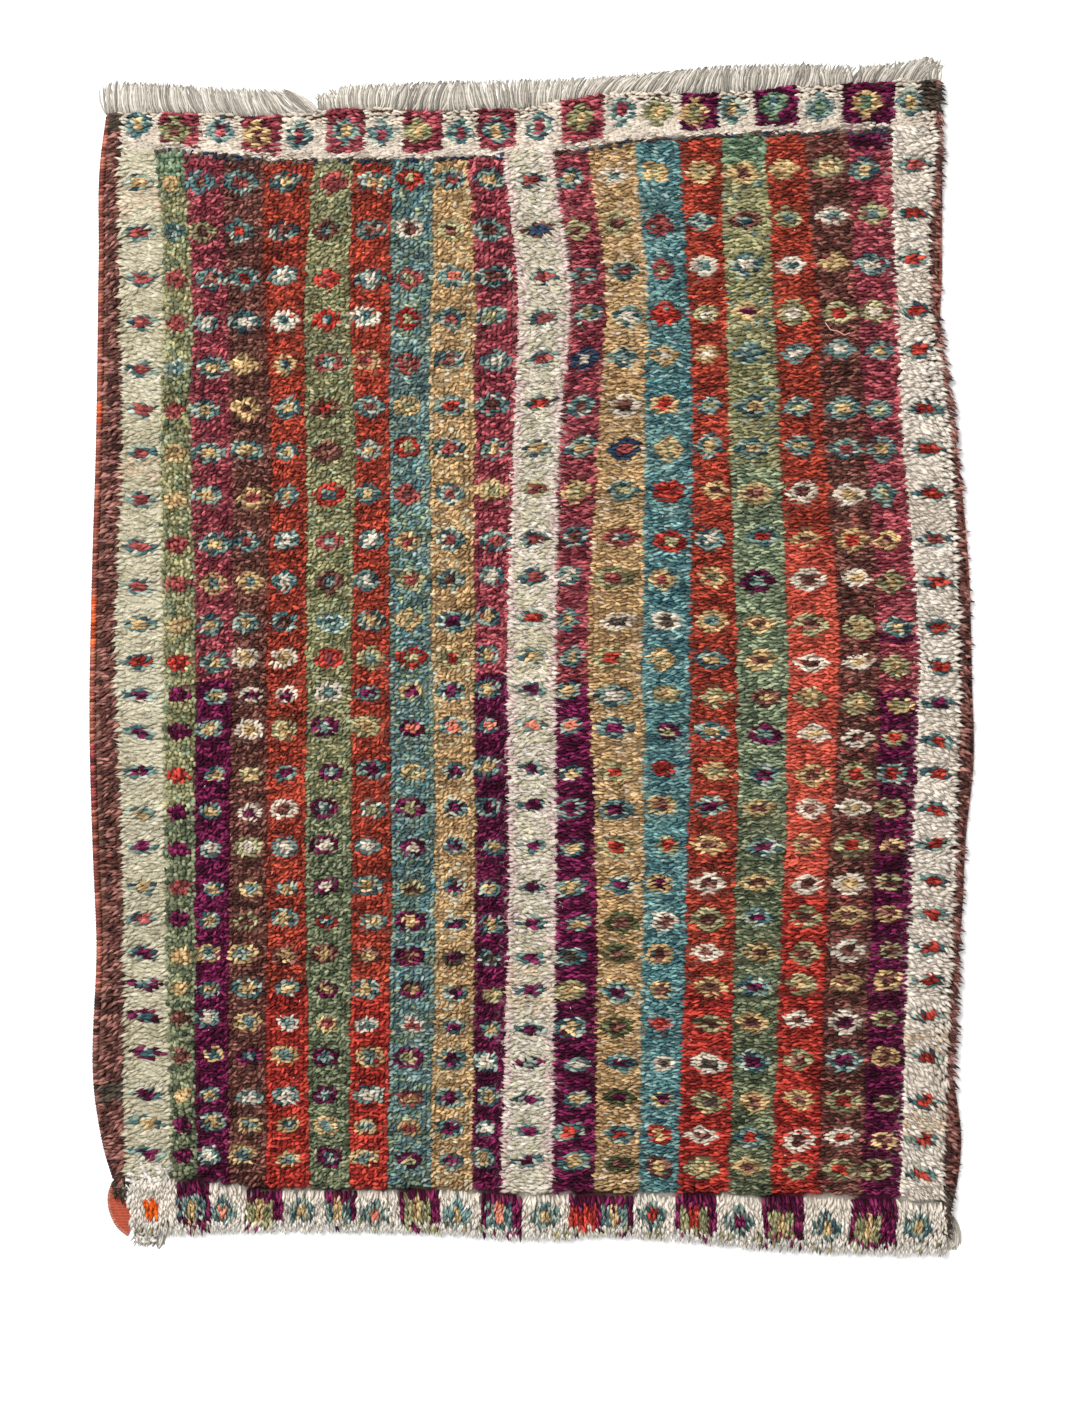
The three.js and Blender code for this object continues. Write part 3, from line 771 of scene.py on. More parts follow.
head = band("band_head", HEAD_BLOCKS, HEAD_START, head_middle, "combed")
above_line = head.y - along(HEAD_LINE, head.x)
head.kept = above_line > -LINE_WIDE / 2
head.yarn[above_line < LINE_WIDE / 2] = YARN["chalk"]
head.yarn[(head.x > DARK_CORNER[0]) & (head.y > DARK_CORNER[1])] = YARN["dark"]
foot = band("band_foot", FOOT_BLOCKS, FOOT_START, foot_middle, "hanging")
foot.kept = foot.y < along(FOOT_LINE, foot.x)
last_rows = foot.y - along(FOOT_EDGE, foot.x) < TIP_ROW
tips = last_rows & (random.random(foot.y.shape) < TIP_SHARE)
foot.yarn[tips] = YARN["lint"]
foot.yarn[tips & (random.random(foot.y.shape) < OLIVE_SHARE)] = YARN["olive"]
foot.chart(SPOT, *FLAME_PLACE, "flame", "flame")
for strip in strips:
    if strip.name in GUARD_FEET:
        strip.kept = strip.y > GUARD_FEET[strip.name]
strips += [head, foot]
print("with the bands", sum(int(strip.kept.sum()) for strip in strips), "knots")

# %% [markdown]
# ## Tufts, locks and strands
#
# Every bit of yarn here is a strand: thin at its root, full in the middle, closed at its tip. A cut
# tuft is a short fat one that stands. A lock is longer and bent over, so that it lies on its
# neighbours. A wrap of the overcast edge is one bent into an arch, and a warp end is a thin one.
# Each is modelled once, standing on its root at real size, and then bent. It keeps `rise`, how far
# up a point sits, and `fibre`, which side of the strand it is on, for the shading. Its faces are
# also laid out as a star in a small square, tip in the middle, so that its colour can be baked.

# %% Model of a strand
ROOT_LEVEL = 2.2
WARP_RINGS = ((2, 1.0), (9, 1.05), (17, 1.0), (25, 0.8))
MODELS = {
    # name: length, rings of (height, radius), sides, bend in radians
    "a tuft": (13.2, ((6.5, 1.0),), 6, 0),
    "b lock": (22.5, ((4.5, 1.25), (13.0, 1.5)), 4, 1.5),
    "c hanging lock": (22, ((6, 1.1), (15, 1.2)), 4, 1.7),
    "d wrap": (12.6, ((0.5, 1.1), (3.2, 1.15), (6.3, 1.15), (9.4, 1.15), (12.1, 1.1)), 4, math.pi),
    "e warp end": (30, WARP_RINGS, 3, 0.45),
    "f warp end": (30, WARP_RINGS, 3, -0.5),
    "g warp end": (30, WARP_RINGS, 3, 0.95),
    "h warp end": (30, WARP_RINGS, 3, -0.9),
    "i curl": (19, ((3, 1.1), (8, 1.35), (13, 1.35), (17, 1.0)), 4, 3.4),
}
MODEL = {name: number for number, name in enumerate(MODELS)}
TUFT, LOCK, HANGING, WRAP, WARP, *_, CURL = MODEL.values()
WRAP_ARCH = MODELS["d wrap"][0] / math.pi
WARP_LONG = MODELS["e warp end"][0]
RIDGE = 4.0
ON_AXIS = 1e-6
NEAR_AXIS = 0.2
FIBRE_ACROSS = 0.3
FIBRE_ALONG = 0.6
models = bpy.data.collections.new("strand models")


def strand(length, rings, sides):
    """A closed upright strand of a point, some rings of (height, radius) and a point."""
    nothing_selected()
    level, size = rings[0]
    bpy.ops.mesh.primitive_circle_add(vertices=sides, radius=size * MM, location=(0, 0, level * MM))
    bpy.ops.object.transform_apply(location=True, rotation=False, scale=False)
    bpy.ops.object.mode_set(mode="EDIT")
    bpy.ops.mesh.select_all(action="SELECT")
    bpy.ops.mesh.extrude_region_move(TRANSFORM_OT_translate={"value": (0, 0, -level * MM)})
    bpy.ops.mesh.merge(type="CENTER")
    bpy.ops.mesh.select_all(action="DESELECT")
    bpy.ops.mesh.select_non_manifold()
    for height, radius in (*rings[1:], (length, 0)):
        step = (0, 0, (height - level) * MM)
        bpy.ops.mesh.extrude_region_move(TRANSFORM_OT_translate={"value": step})
        if radius:
            bpy.ops.transform.resize(value=(radius / size, radius / size, 1))
            size = radius
        level = height
    bpy.ops.mesh.merge(type="CENTER")
    bpy.ops.mesh.select_all(action="SELECT")
    bpy.ops.mesh.normals_make_consistent(inside=False)
    bpy.ops.mesh.quads_convert_to_tris()
    bpy.ops.object.mode_set(mode="OBJECT")
    bpy.ops.object.shade_smooth()
    return bpy.context.object


def star_map(mesh, length):
    """Lays the faces of an upright strand round the middle of a unit square, tip inmost."""
    layer = mesh.uv_layers.new(name="square")
    for face in mesh.polygons:
        facing = math.atan2(face.center.y, face.center.x)
        for loop in face.loop_indices:
            point = mesh.vertices[mesh.loops[loop].vertex_index].co
            on_axis = math.hypot(point.x, point.y) < ON_AXIS
            turn = facing if on_axis else math.atan2(point.y, point.x)
            out = 0.5 * (1 - point.z / (length * MM))
            layer.data[loop].uv = (0.5 + out * math.cos(turn), 0.5 + out * math.sin(turn))


def store(mesh, name, kind, values):
    """Keeps an array on a mesh, with a row of it for each point."""
    field = {"FLOAT_VECTOR": "vector", "FLOAT_COLOR": "color"}.get(kind, "value")
    numbers = np.int32 if kind == "INT" else np.float32
    column = mesh.attributes.new(name, kind, "POINT")
    column.data.foreach_set(field, values.astype(numbers).ravel())


def keep_shading(mesh, length):
    """Stores rise and fibre on an upright strand."""
    points = np.array([point.co for point in mesh.vertices]) / MM
    store(mesh, "rise", "FLOAT", np.clip(points[:, 2] / length, 0, 1))
    reach = np.maximum(np.hypot(points[:, 0], points[:, 1]), NEAR_AXIS)
    side = points / reach[:, None]
    side[:, 0] *= FIBRE_ACROSS
    side[:, 2] = points[:, 2] / length * FIBRE_ALONG
    store(mesh, "fibre", "FLOAT_VECTOR", side)


def bend(mesh, length, angle):
    """Bends an upright strand over towards +X, along an arc of its own length."""
    radius = length * MM / angle
    for point in mesh.vertices:
        turn = angle * point.co.z / (length * MM)
        arm = radius - point.co.x
        point.co.x = radius - arm * math.cos(turn)
        point.co.z = arm * math.sin(turn)


def raise_ridge(mesh):
    """Pulls up the two ends of a tuft's ring, which gives its crown a ridge like a roof's."""
    for point in mesh.vertices:
        point.co.z += RIDGE * MM * abs(point.co.x / MM) ** 3


for name, (length, rings, sides, angle) in MODELS.items():
    model = strand(length, rings, sides)
    model.name = name
    star_map(model.data, length)
    keep_shading(model.data, length)
    if angle:
        bend(model.data, length, angle)
    else:
        raise_ridge(model.data)
    for home in model.users_collection:
        home.objects.unlink(model)
    models.objects.link(model)
    size = [round(side / MM, 1) for side in model.dimensions]
    print(name, len(model.data.polygons), "faces,", *size)

# %% [markdown]
# ## Wool
#
# The colour comes with each strand. The material darkens it towards the root as painted shade,
# where light seldom reaches, and less so in pale wool. A noise that changes fast round the strand
# and slowly along it draws the fibres, both in the colour and as a bump.


# %% Wool material
LIT_FROM = 0.55
DARK_FIBRE = 0.58
FIBRE_CONTRAST = 0.66
PLACE_SCALE = (90, 90, 90)
FIBRE_SCALE = 2.6


def paint_wool(tree):
    fibre = tree.attribute("fibre", "Vector")
    inputs = {0: tree.place(), 1: PLACE_SCALE, 2: fibre}
    spot = tree.node("ShaderNodeVectorMath", {"operation": "MULTIPLY_ADD"}, inputs)
    fibres = tree.noise(spot, FIBRE_SCALE, detail=1.0)
    rise = tree.attribute("rise")
    root = tree.attribute("yarn", "Alpha")
    # painted shade: darker towards the root, down to how light the yarn's root is kept
    inputs = {"Value": rise, "From Max": LIT_FROM, "To Min": root}
    lit = tree.node("ShaderNodeMapRange", {"interpolation_type": "SMOOTHSTEP"}, inputs)
    light = lit * (fibres * FIBRE_CONTRAST + DARK_FIBRE)
    colour = tree.darken(tree.attribute("yarn", "Color"), light)
    return colour, tree.relief(fibres, strength=0.35, depth=0.0006)


wool = finish("wool", paint_wool, roughness=0.9, gloss=0.15)
print("wool of", len(wool.node_tree.nodes), "nodes")

# %% [markdown]
# ## Planting
#
# A point for each knot carries the strand's turn, size, yarn and model as attributes. Geometry
# Nodes puts the right model on every point, makes the copies real, and moves each small square to
# a cell of its own in the map that bakes use.


# %% The planting modifier
def planting_tree():
    group = bpy.data.node_groups.new("plant strands", "GeometryNodeTree")
    group.interface.new_socket("Geometry", in_out="INPUT", socket_type="NodeSocketGeometry")
    group.interface.new_socket("Geometry", in_out="OUTPUT", socket_type="NodeSocketGeometry")
    tree = Tree(group)

    def named(name, kind="FLOAT_VECTOR"):
        return tree.node("GeometryNodeInputNamedAttribute", {"data_type": kind}, {"Name": name})

    inputs = {"Collection": models, "Separate Children": True, "Reset Children": True}
    choices = tree.node("GeometryNodeCollectionInfo", None, inputs)
    inputs = {
        "Points": tree.node("NodeGroupInput"),
        "Instance": choices,
        "Pick Instance": True,
        "Instance Index": named("model", "INT"),
        "Rotation": named("turn"),
        "Scale": named("size"),
    }
    planted = tree.node("GeometryNodeInstanceOnPoints", None, inputs)
    real = tree.node("GeometryNodeRealizeInstances", None, {"Geometry": planted})
    inputs = {0: named("square"), 1: named("cell_size"), 2: named("cell")}
    moved = tree.node("ShaderNodeVectorMath", {"operation": "MULTIPLY_ADD"}, inputs)
    settings = {"data_type": "FLOAT2", "domain": "CORNER"}
    stored = tree.node(
        "GeometryNodeStoreNamedAttribute",
        settings,
        {"Geometry": real, "Name": "OFBake", "Value": moved},
    )
    tree.node("NodeGroupOutput", None, {"Geometry": stored})
    return group


planting = planting_tree()
print("planting modifier of", len(planting.nodes), "nodes")

# %% Pieces of many strands
CELL_FILL = 0.94


def rows_of(*columns):
    """An array with a row for each strand. A plain number fills its whole column."""
    return np.stack(np.broadcast_arrays(*columns), 1)


def active_object(name, data):
    """A new object, the only one selected, so that operators act on it."""
    made = bpy.data.objects.new(name, data)
    bpy.context.scene.collection.objects.link(made)
    nothing_selected()
    made.select_set(True)
    bpy.context.view_layer.objects.active = made
    return made


def plant(name, place, turn, size, model, yarn):
    """One piece of many strands. Each array has a row for a strand, with lengths in millimetres."""
    count = len(place)
    mesh = bpy.data.meshes.new(name)
    mesh.vertices.add(count)
    mesh.vertices.foreach_set("co", (place * MM).astype(np.float32).ravel())
    side = math.ceil(math.sqrt(count))
    order = np.arange(count)
    inset = (1 - CELL_FILL) / 2
    columns = {
        "turn": turn,
        "size": size,
        "cell": rows_of(order % side + inset, order // side + inset, 0) / side,
        "cell_size": np.full((count, 3), CELL_FILL / side),
    }
    for title, values in columns.items():
        store(mesh, title, "FLOAT_VECTOR", values)
    store(mesh, "yarn", "FLOAT_COLOR", yarn)
    store(mesh, "model", "INT", np.broadcast_to(model, count))
    piece = active_object(name, mesh)
    piece.modifiers.new("planting", "NODES").node_group = planting
    bpy.ops.object.modifier_apply(modifier="planting")
    for title in (*columns, "model", "square"):
        if title in piece.data.attributes:
            piece.data.attributes.remove(piece.data.attributes[title])
    piece.data.materials.clear()
    piece.data.materials.append(wool)
    return piece


def tube(name, points, radius, material):
    """A plain closed rod along a path in millimetres."""
    curve = bpy.data.curves.new(name, "CURVE")
    curve.dimensions = "3D"
    curve.bevel_depth = radius * MM
    curve.bevel_resolution = 1
    curve.use_fill_caps = True
    line = curve.splines.new("POLY")
    line.points.add(len(points) - 1)
    for made, (x, y, z) in zip(line.points, points):
        made.co = (x * MM, y * MM, z * MM, 1)
    active_object(name, curve)
    bpy.ops.object.convert(target="MESH")
    rod = bpy.context.object
    rod.data.materials.append(material)
    return rod


# %% [markdown]
# ## How the pile lies
#
# In the left half the tufts stand up and turn at random, and in the right half they were brushed
# across. The ivory falls in fine wisps away from the middle, the guards are shaggy, and the last
# rows hang over the foot. Wool also clings: tufts crowd into small lumps with darker gaps between,
# painted as shade, and here and there the pile has parted, painted as shadow along the parting.

# %% The lay of each kind of pile
LAYS = {
    # pile: half width, half depth, slope, usual turn, swing
    "upright": (4.1, 2.3, 0.26, 0.4, 0.9),
    "combed": (5.2, 2.0, 0.36, 0.0, 0.45),
    "knobbly": (3.5, 2.9, 0.36, 0.8, 1.5),
}
THICK = {"wisps": (1.4, 2.5), "shaggy": (1.3, 2.0), "hanging": (1.2, 1.9)}
JITTER = {
    "upright": (1.6, 1.3), "combed": (1.9, 1.1), "knobbly": (2.0, 1.6), "wisps": (2.8, 2.2),
    "shaggy": (1.8, 1.8), "hanging": (2.2, 1.4),
}
FACING = {
    "guard_left": math.pi + 0.45,
    "border_left": math.pi + 0.2,
    "ivory_middle": 0.0,
    "border_right": -0.2,
    "guard_right": -0.5,
    "band_foot": -math.pi / 2,
}
# how far behind its knot a lock starts, in millimetres, so that it lies over its knot
BACK = 7.0
HANGING_BACK = 2.5
GUARD_BACK = {"guard_left": 7.2, "guard_right": 5.0}
COVERED_BACK = 4.0
# a guard's locks leave the cord bare above this height and hang over it below
BARE_CORD_ABOVE = {"guard_left": -500, "guard_right": 170}
PATCHES = {
    # what varies over the rug: how wide its patches are, seed
    "dye lot": (55.0, 11),
    "streak": (16, 14),
    "mottle": (15, 12),
    "parting": (20, 41),
    "lump": (26, 51),
    "lump strength": (34, 52),
    "height": (18, 5),
    "lean over": (30, 7),
    "lean aside": (30, 8),
    "combing": (25, 9),
}


def patches(x, y, what):
    return drift(x, y, *PATCHES[what])


print(len(FACING), "strips of locks,", len(strips) - len(FACING), "of standing tufts")

# %% Dye lots
LOT_SHADE = 0.14
STREAK_SHADE = 0.12
MOTTLE_SHADE = 0.22
PALE_SHADE = 0.35
# steps that take each strip to a place of its own in the drift
NAME_STEP = 37.0
COLUMN_STEP = 900


def pile_colour(strip, x, y, yarn):
    """Shade of each tuft: a drift of dye lots along the strip, patches, and chance."""
    grain = np.array([row[0] for row in YARNS.values()])[yarn]
    own = NAME_STEP * len(strip.name) + COLUMN_STEP * strip.columns + 0 * y
    lot = patches(own, y, "dye lot")
    share = 0.5 + 0.5 * (1 - grain) * lot + grain * random.uniform(-0.5, 0.5, len(x))
    colour = wool_colour(yarn, np.clip(share, 0, 1))
    shade = LOT_SHADE * lot + STREAK_SHADE * patches(own, y, "streak")
    shade = shade + MOTTLE_SHADE * patches(x, y, "mottle")
    pale = np.isin(yarn, [YARN[name] for name in PALE_YARNS])
    colour[:, :3] *= (1 + shade * np.where(pale, PALE_SHADE, 1))[:, None]
    return colour


# %% Partings and lumps
PARTINGS = (
    # from x, to x, y: where the pile has parted, and its tufts get painted shadow over the gap
    (-379, -334, -261), (372, 469, -249), (255, 425, -426), (391, 437, 66), (198, 261, -457),
    (91, 129, -16), (-338, -300, -75), (-447, -398, -655),
)
PARTING_WIDE = 3.5
PARTING_WAVER = 4
PARTING_CORE = 1.4
SEAM_WIDE = 3
SEAM_CORE = 1.3
SEAM_DEPTH = 0.9
LUMP_LONG = 13
LUMP_PULL = 1.1
LUMP_WAVER = 0.6
LUMP_STRENGTH = 0.6
LUMP_CHANGE = 0.4


def parted(x, y):
    """For each tuft, how near it is to a parting, 0 to 1, and on which side of it."""
    near, side = np.zeros(len(x)), np.ones(len(x))
    for low, high, at in PARTINGS:
        away = y - at - PARTING_WAVER * patches(x, 0 * x, "parting")
        close = np.clip(PARTING_CORE - np.abs(away) / PARTING_WIDE, 0, 1)
        close = close * (x > low) * (x < high)
        side = np.where(close > near, np.sign(away), side)
        near = np.maximum(near, close)
    # the seam over the foot band counts as a parting, so its tufts get painted shadow too
    seam = np.abs(y - along(FOOT_LINE, x) - SEAM / 2)
    near = np.maximum(near, SEAM_DEPTH * np.clip(SEAM_CORE - seam / SEAM_WIDE, 0, 1))
    return near, side


def drawn_together(x, y):
    """How the tufts crowd into lumps: the shift of each along y, and how near a gap it is."""
    phase = math.tau * (y / LUMP_LONG + LUMP_WAVER * patches(x, y, "lump"))
    strength = LUMP_STRENGTH + LUMP_CHANGE * patches(x, y, "lump strength")
    return -LUMP_PULL * strength * np.sin(phase), 0.5 * strength * (1 - np.cos(phase))


print(len(PARTINGS), "partings, and a lump every", LUMP_LONG, "mm")

# %% Standing tufts and lying locks
HEIGHT_DRIFT = 0.09
CUT = (-0.1, 0.08)
FULLNESS = (0.8, 1.2)
TILT = 0.15
FIGURE_PROUD = 0.03
FIGURE_FULL = 0.12
FIGURE_NEAT = 0.5
LUMP_PAINTED_LIGHT = 1.03
LUMP_PROUD = 0.03
GAP_PAINTED_SHADE = 0.34
GAP_LOW = 0.09
PARTING_PAINTED_SHADOW = 0.6
PARTING_LOW = 0.2
PARTING_TILT = 0.2
COMB_DRIFT = 0.4
COMB_CHANCE = 0.4
DROOP_BELOW = -430
DROOP = 0.5
TO_ONE_SIDE = 0.1
LOCK_LENGTH = (0.8, 1.15)
LOCK_HEIGHT = (-0.12, 0.04)
LOCK_PROUD = 0.1
LOCK_FLAT = 0.86


def standing(strip, x, y, colour, figure):
    """Cut tufts that stand up, those of the figures a little prouder."""
    wide, deep, slope, usual, swing = LAYS[strip.pile]
    count = len(x)
    near, side = parted(x, y)
    shift, gap = drawn_together(x, y)
    loose = 1 - FIGURE_NEAT * figure
    y = y + shift * loose
    # painted shade: tufts near a parting and in the gaps between lumps are darkened, lump crowns a
    # little lightened
    light = (1 - PARTING_PAINTED_SHADOW * near) * (LUMP_PAINTED_LIGHT - GAP_PAINTED_SHADE * gap * loose)
    colour[:, :3] *= light[:, None]
    lift = 1 + HEIGHT_DRIFT * patches(x, y, "height") + random.uniform(*CUT, count)
    lift = lift - PARTING_LOW * near + FIGURE_PROUD * figure + LUMP_PROUD - GAP_LOW * gap
    wide, deep = wide * random.uniform(*FULLNESS, count), deep * random.uniform(*FULLNESS, count)
    full = 1 + FIGURE_FULL * figure
    size = rows_of(wide * full, deep * full, lift)
    over = slope * patches(x, y, "lean over") + random.uniform(-TILT, TILT, count)
    over = over - PARTING_TILT * near * side
    aside = slope * patches(x, y, "lean aside") + random.uniform(-TILT, TILT, count)
    turn = rows_of(over, aside, usual + random.uniform(-swing, swing, count))
    return x, y, turn, size, TUFT, colour


def lying(strip, x, y, colour, figure):
    """Locks that fall over in the direction which their strip was combed, figures uppermost."""
    count = len(x)
    yaw = FACING[strip.name] + COMB_DRIFT * patches(x, y, "combing")
    yaw = yaw + random.uniform(-COMB_CHANCE, COMB_CHANCE, count)
    if strip.name == "border_right":
        yaw = yaw - DROOP * (y < DROOP_BELOW)
    if strip.name == "ivory_middle":
        yaw = yaw + np.where(random.random(count) < 0.5, TO_ONE_SIDE, math.pi - TO_ONE_SIDE)
    turn = rows_of(0, random.uniform(-TILT, TILT, count), yaw)
    long = random.uniform(*LOCK_LENGTH, count)
    model, back = LOCK, BACK
    if strip.pile == "hanging":
        model, back = HANGING, HANGING_BACK
        long = (1 + long) / 2
    if strip.name in BARE_CORD_ABOVE:
        back = np.where(y > BARE_CORD_ABOVE[strip.name], GUARD_BACK[strip.name], COVERED_BACK)
    thick = random.uniform(*THICK[strip.pile], count)
    lift = 1 + HEIGHT_DRIFT * patches(x, y, "height") + random.uniform(*LOCK_HEIGHT, count)
    lift = lift + LOCK_PROUD * figure
    size = rows_of(long, thick, LOCK_FLAT * long * lift)
    return x - back * np.cos(yaw), y - back * np.sin(yaw), turn, size, model, colour


def tufts_of(strip):
    """Arrays for planting a strip: place, turn, size, model and colour."""
    x, y, yarn = strip.x[strip.kept], strip.y[strip.kept], strip.yarn[strip.kept]
    if strip.pile == "hanging":
        x, y, yarn = np.repeat(x, 2), np.repeat(y, 2), np.repeat(yarn, 2)
    colour = pile_colour(strip, x, y, yarn)
    figure = yarn != np.bincount(yarn).argmax()
    loose = 1 - FIGURE_NEAT * figure
    jitter_x, jitter_y = JITTER[strip.pile]
    x = x + random.uniform(-1, 1, len(x)) * jitter_x * loose
    y = y + random.uniform(-1, 1, len(x)) * jitter_y * loose
    lay = standing if strip.pile in LAYS else lying
    x, y, turn, size, model, colour = lay(strip, x, y, colour, figure)
    return rows_of(x, y, ROOT_LEVEL), turn, size, np.full(len(x), model), colour


tufts = [tufts_of(strip) for strip in strips]
pile = []
for one in range(0, len(strips), 2):
    arrays = [np.concatenate(columns) for columns in zip(tufts[one], tufts[one + 1])]
    pile.append(plant(f"pile_{strips[one].name}_{strips[one + 1].name}", *arrays))
print(len(pile), "pieces of pile,", sum(len(piece.data.polygons) for piece in pile), "triangles")

# %% [markdown]
# ## The dense wool below the tips
#
# Wool is so dense that nobody sees down to the knots: between two tips there is more wool. A soft
# grid at half the height of the pile stands for it, a little higher in pale wool. It takes its
# colour from the nearest tufts, with the painted shade of a root, and it dips into the seam above
# the foot band, where it is painted darker as shadow.

# %% Under-pile
UNDER_LEVEL = 8.4
PALE_UNDER_LEVEL = 10.6
UNDER_GRID = (78, 146)
UNDER_INSET = 0.006
UNDER_RISE_PAINTED_SHADE = 0.12
PALE_RISE_PAINTED_SHADE = 0.3
NEAREST = 4
SEAM_SOFT = 7
SEAM_PAINTED_SHADOW = 0.75
SEAM_DEEP = 3


def grid_sheet(name, parts):
    """A flat square grid, to be shaped. It is left active."""
    nothing_selected()
    bpy.ops.mesh.primitive_grid_add(x_subdivisions=parts[0], y_subdivisions=parts[1], size=1)
    sheet = bpy.context.object
    sheet.name = name
    return sheet


under = grid_sheet("pile_under", UNDER_GRID)
grid = np.array([point.co for point in under.data.vertices]) + 0.5
u, v = (UNDER_INSET + grid[:, i] * (1 - 2 * UNDER_INSET) for i in (0, 1))
x = edge_at_shares(left_edge, v) * (1 - u) + edge_at_shares(right_edge, v) * u
y = height_on_rug(x, v)
inside = (np.abs(grid[:, :2] - 0.5) < 0.5 - UNDER_INSET / 2).all(1)
places = np.concatenate([arrays[0] for arrays in tufts])
colours = np.concatenate([arrays[4] for arrays in tufts])
near_tufts = kdtree.KDTree(len(places))
for number, (tuft_x, tuft_y, _) in enumerate(places):
    near_tufts.insert((tuft_x, tuft_y, 0), number)
near_tufts.balance()
nearest = [[row[1] for row in near_tufts.find_n((a, b, 0), NEAREST)] for a, b in zip(x, y)]
under_colour = colours[np.array(nearest)].mean(1)
pale = np.clip((under_colour[:, 3] - DARK_ROOT_PAINTED_SHADE) / (PALE_ROOT_PAINTED_SHADE - DARK_ROOT_PAINTED_SHADE), 0, 1)
seam = np.exp(-(((y - along(FOOT_LINE, x) - SEAM / 2) / SEAM_SOFT) ** 2))
# painted shadow along the seam over the foot band
under_colour[:, :3] *= (1 - SEAM_PAINTED_SHADOW * seam)[:, None]
soft_level = UNDER_LEVEL + (PALE_UNDER_LEVEL - UNDER_LEVEL) * pale - SEAM_DEEP * seam
z = np.where(inside, soft_level, ROOT_LEVEL)
under.data.vertices.foreach_set("co", (rows_of(x, y, z) * MM).astype(np.float32).ravel())
store(under.data, "yarn", "FLOAT_COLOR", under_colour)
# a low rise gives the sheet the painted shade of a tuft's root, less under pale wool
store(under.data, "rise", "FLOAT", UNDER_RISE_PAINTED_SHADE + PALE_RISE_PAINTED_SHADE * pale)
under.data.materials.append(wool)
pile.append(under)
print("under-pile of", len(under.data.polygons), "quads")

# %% [markdown]
# ## Overcast sides
#
# Along both sides the outer warps are bound with wool that goes round and round. Each turn is the
# arch model, set a little aslant on a core of warps, and the wool changes colour along the way.

# %% Overcast cords
SIDE_GAP = 0.3
LEFT_CORD = {"width": 10, "height": 8, "pitch": 4.0, "slant": 0.35}
RIGHT_CORD = {"width": 7, "height": 6, "pitch": 3.8, "slant": 0.3}
LEFT_RUN = (-655, 683)
RIGHT_RUN = (-704, 723)
SLANT_CHANCE = 0.08
TURN_RADIUS = 0.9
TURN_THICK = (1.9, 2.3)
TURN_FOOT = 0.2
TURN_SPREAD = 0.25
CORE_INSET = 2
CORE_STEP = 16
CORE_LEVEL = 0.42
CORE_RADIUS = 0.36
LEFT_TURNS = (
    # from which height down, yarn
    (684, "guard wool"), (676, "brick"), (320, "orange"), (296, "brick"), (75, "orange"),
    (10, "brick"), (-110, "rose"), (-190, "brick"), (-420, "guard wool"), (-560, "walnut"),
)
RIGHT_TURNS = (
    (724, "dark"), (670, "guard wool"), (560, "brick"), (262, "red"),
    (190, "brick"), (60, "guard wool"), (-420, "walnut"),
)
core_wool = finish("core wool", plain((96, 62, 54)), roughness=0.95)


def turns_of(changes, y):
    """The yarn at each height, where changes lists from which height down a yarn was used."""
    found = np.full(len(y), YARN[changes[0][1]])
    for from_height, yarn in changes:
        found[y < from_height] = YARN[yarn]
    return found


def arches(name, x, y, heading, half, thick, high, level, colour):
    """Turns of wool over a line: each reaches half to either side of it and stands up to high."""
    half, high = half / WRAP_ARCH, high / WRAP_ARCH
    foot_x = x - WRAP_ARCH * half * np.cos(heading)
    foot_y = y - WRAP_ARCH * half * np.sin(heading)
    place, turn = rows_of(foot_x, foot_y, level), rows_of(0, 0, heading)
    return plant(name, place, turn, rows_of(half, thick, high + 0 * x), WRAP, colour)


def cord(name, edge, low, high, side, sizes, changes):
    """The turns and the core of an overcast side, on the outside (-1 left, 1 right) of an edge."""
    out = side * (SIDE_GAP + sizes["width"] / 2)
    y = np.arange(low, high, sizes["pitch"])
    x = edge(y) + out
    heading = -np.gradient(x, y) + sizes["slant"]
    heading = heading + random.uniform(-SLANT_CHANCE, SLANT_CHANCE, len(y))
    half, up = sizes["width"] / 2 - TURN_RADIUS, sizes["height"] - TURN_RADIUS
    thick = random.uniform(*TURN_THICK, len(y))
    colour = wool_colour(turns_of(changes, y), random.random(len(y)), TURN_SPREAD)
    turns = arches(name + "_wraps", x, y, heading, half, thick, up, TURN_FOOT, colour)
    path = np.arange(low + CORE_INSET, high, CORE_STEP)
    points = [(edge(at) + out, at, sizes["height"] * CORE_LEVEL) for at in path]
    return [turns, tube(name + "_core", points, sizes["height"] * CORE_RADIUS, core_wool)]


left_cord = cord("cord_left", left_edge, *LEFT_RUN, -1, LEFT_CORD, LEFT_TURNS)
right_cord = cord("cord_right", right_edge, *RIGHT_RUN, 1, RIGHT_CORD, RIGHT_TURNS)
print("turns of wool:", *(len(turns.data.polygons) for turns, _ in (left_cord, right_cord)), "faces")

# %% [markdown]
# ## Warp ends
#
# The cut warps make the fringe at the head: pale undyed wool, thin, and each with its own curve.
# They lean to the left at first, and after a break they wave to and fro. Two small bundles of the
# same ends hang out at the foot.

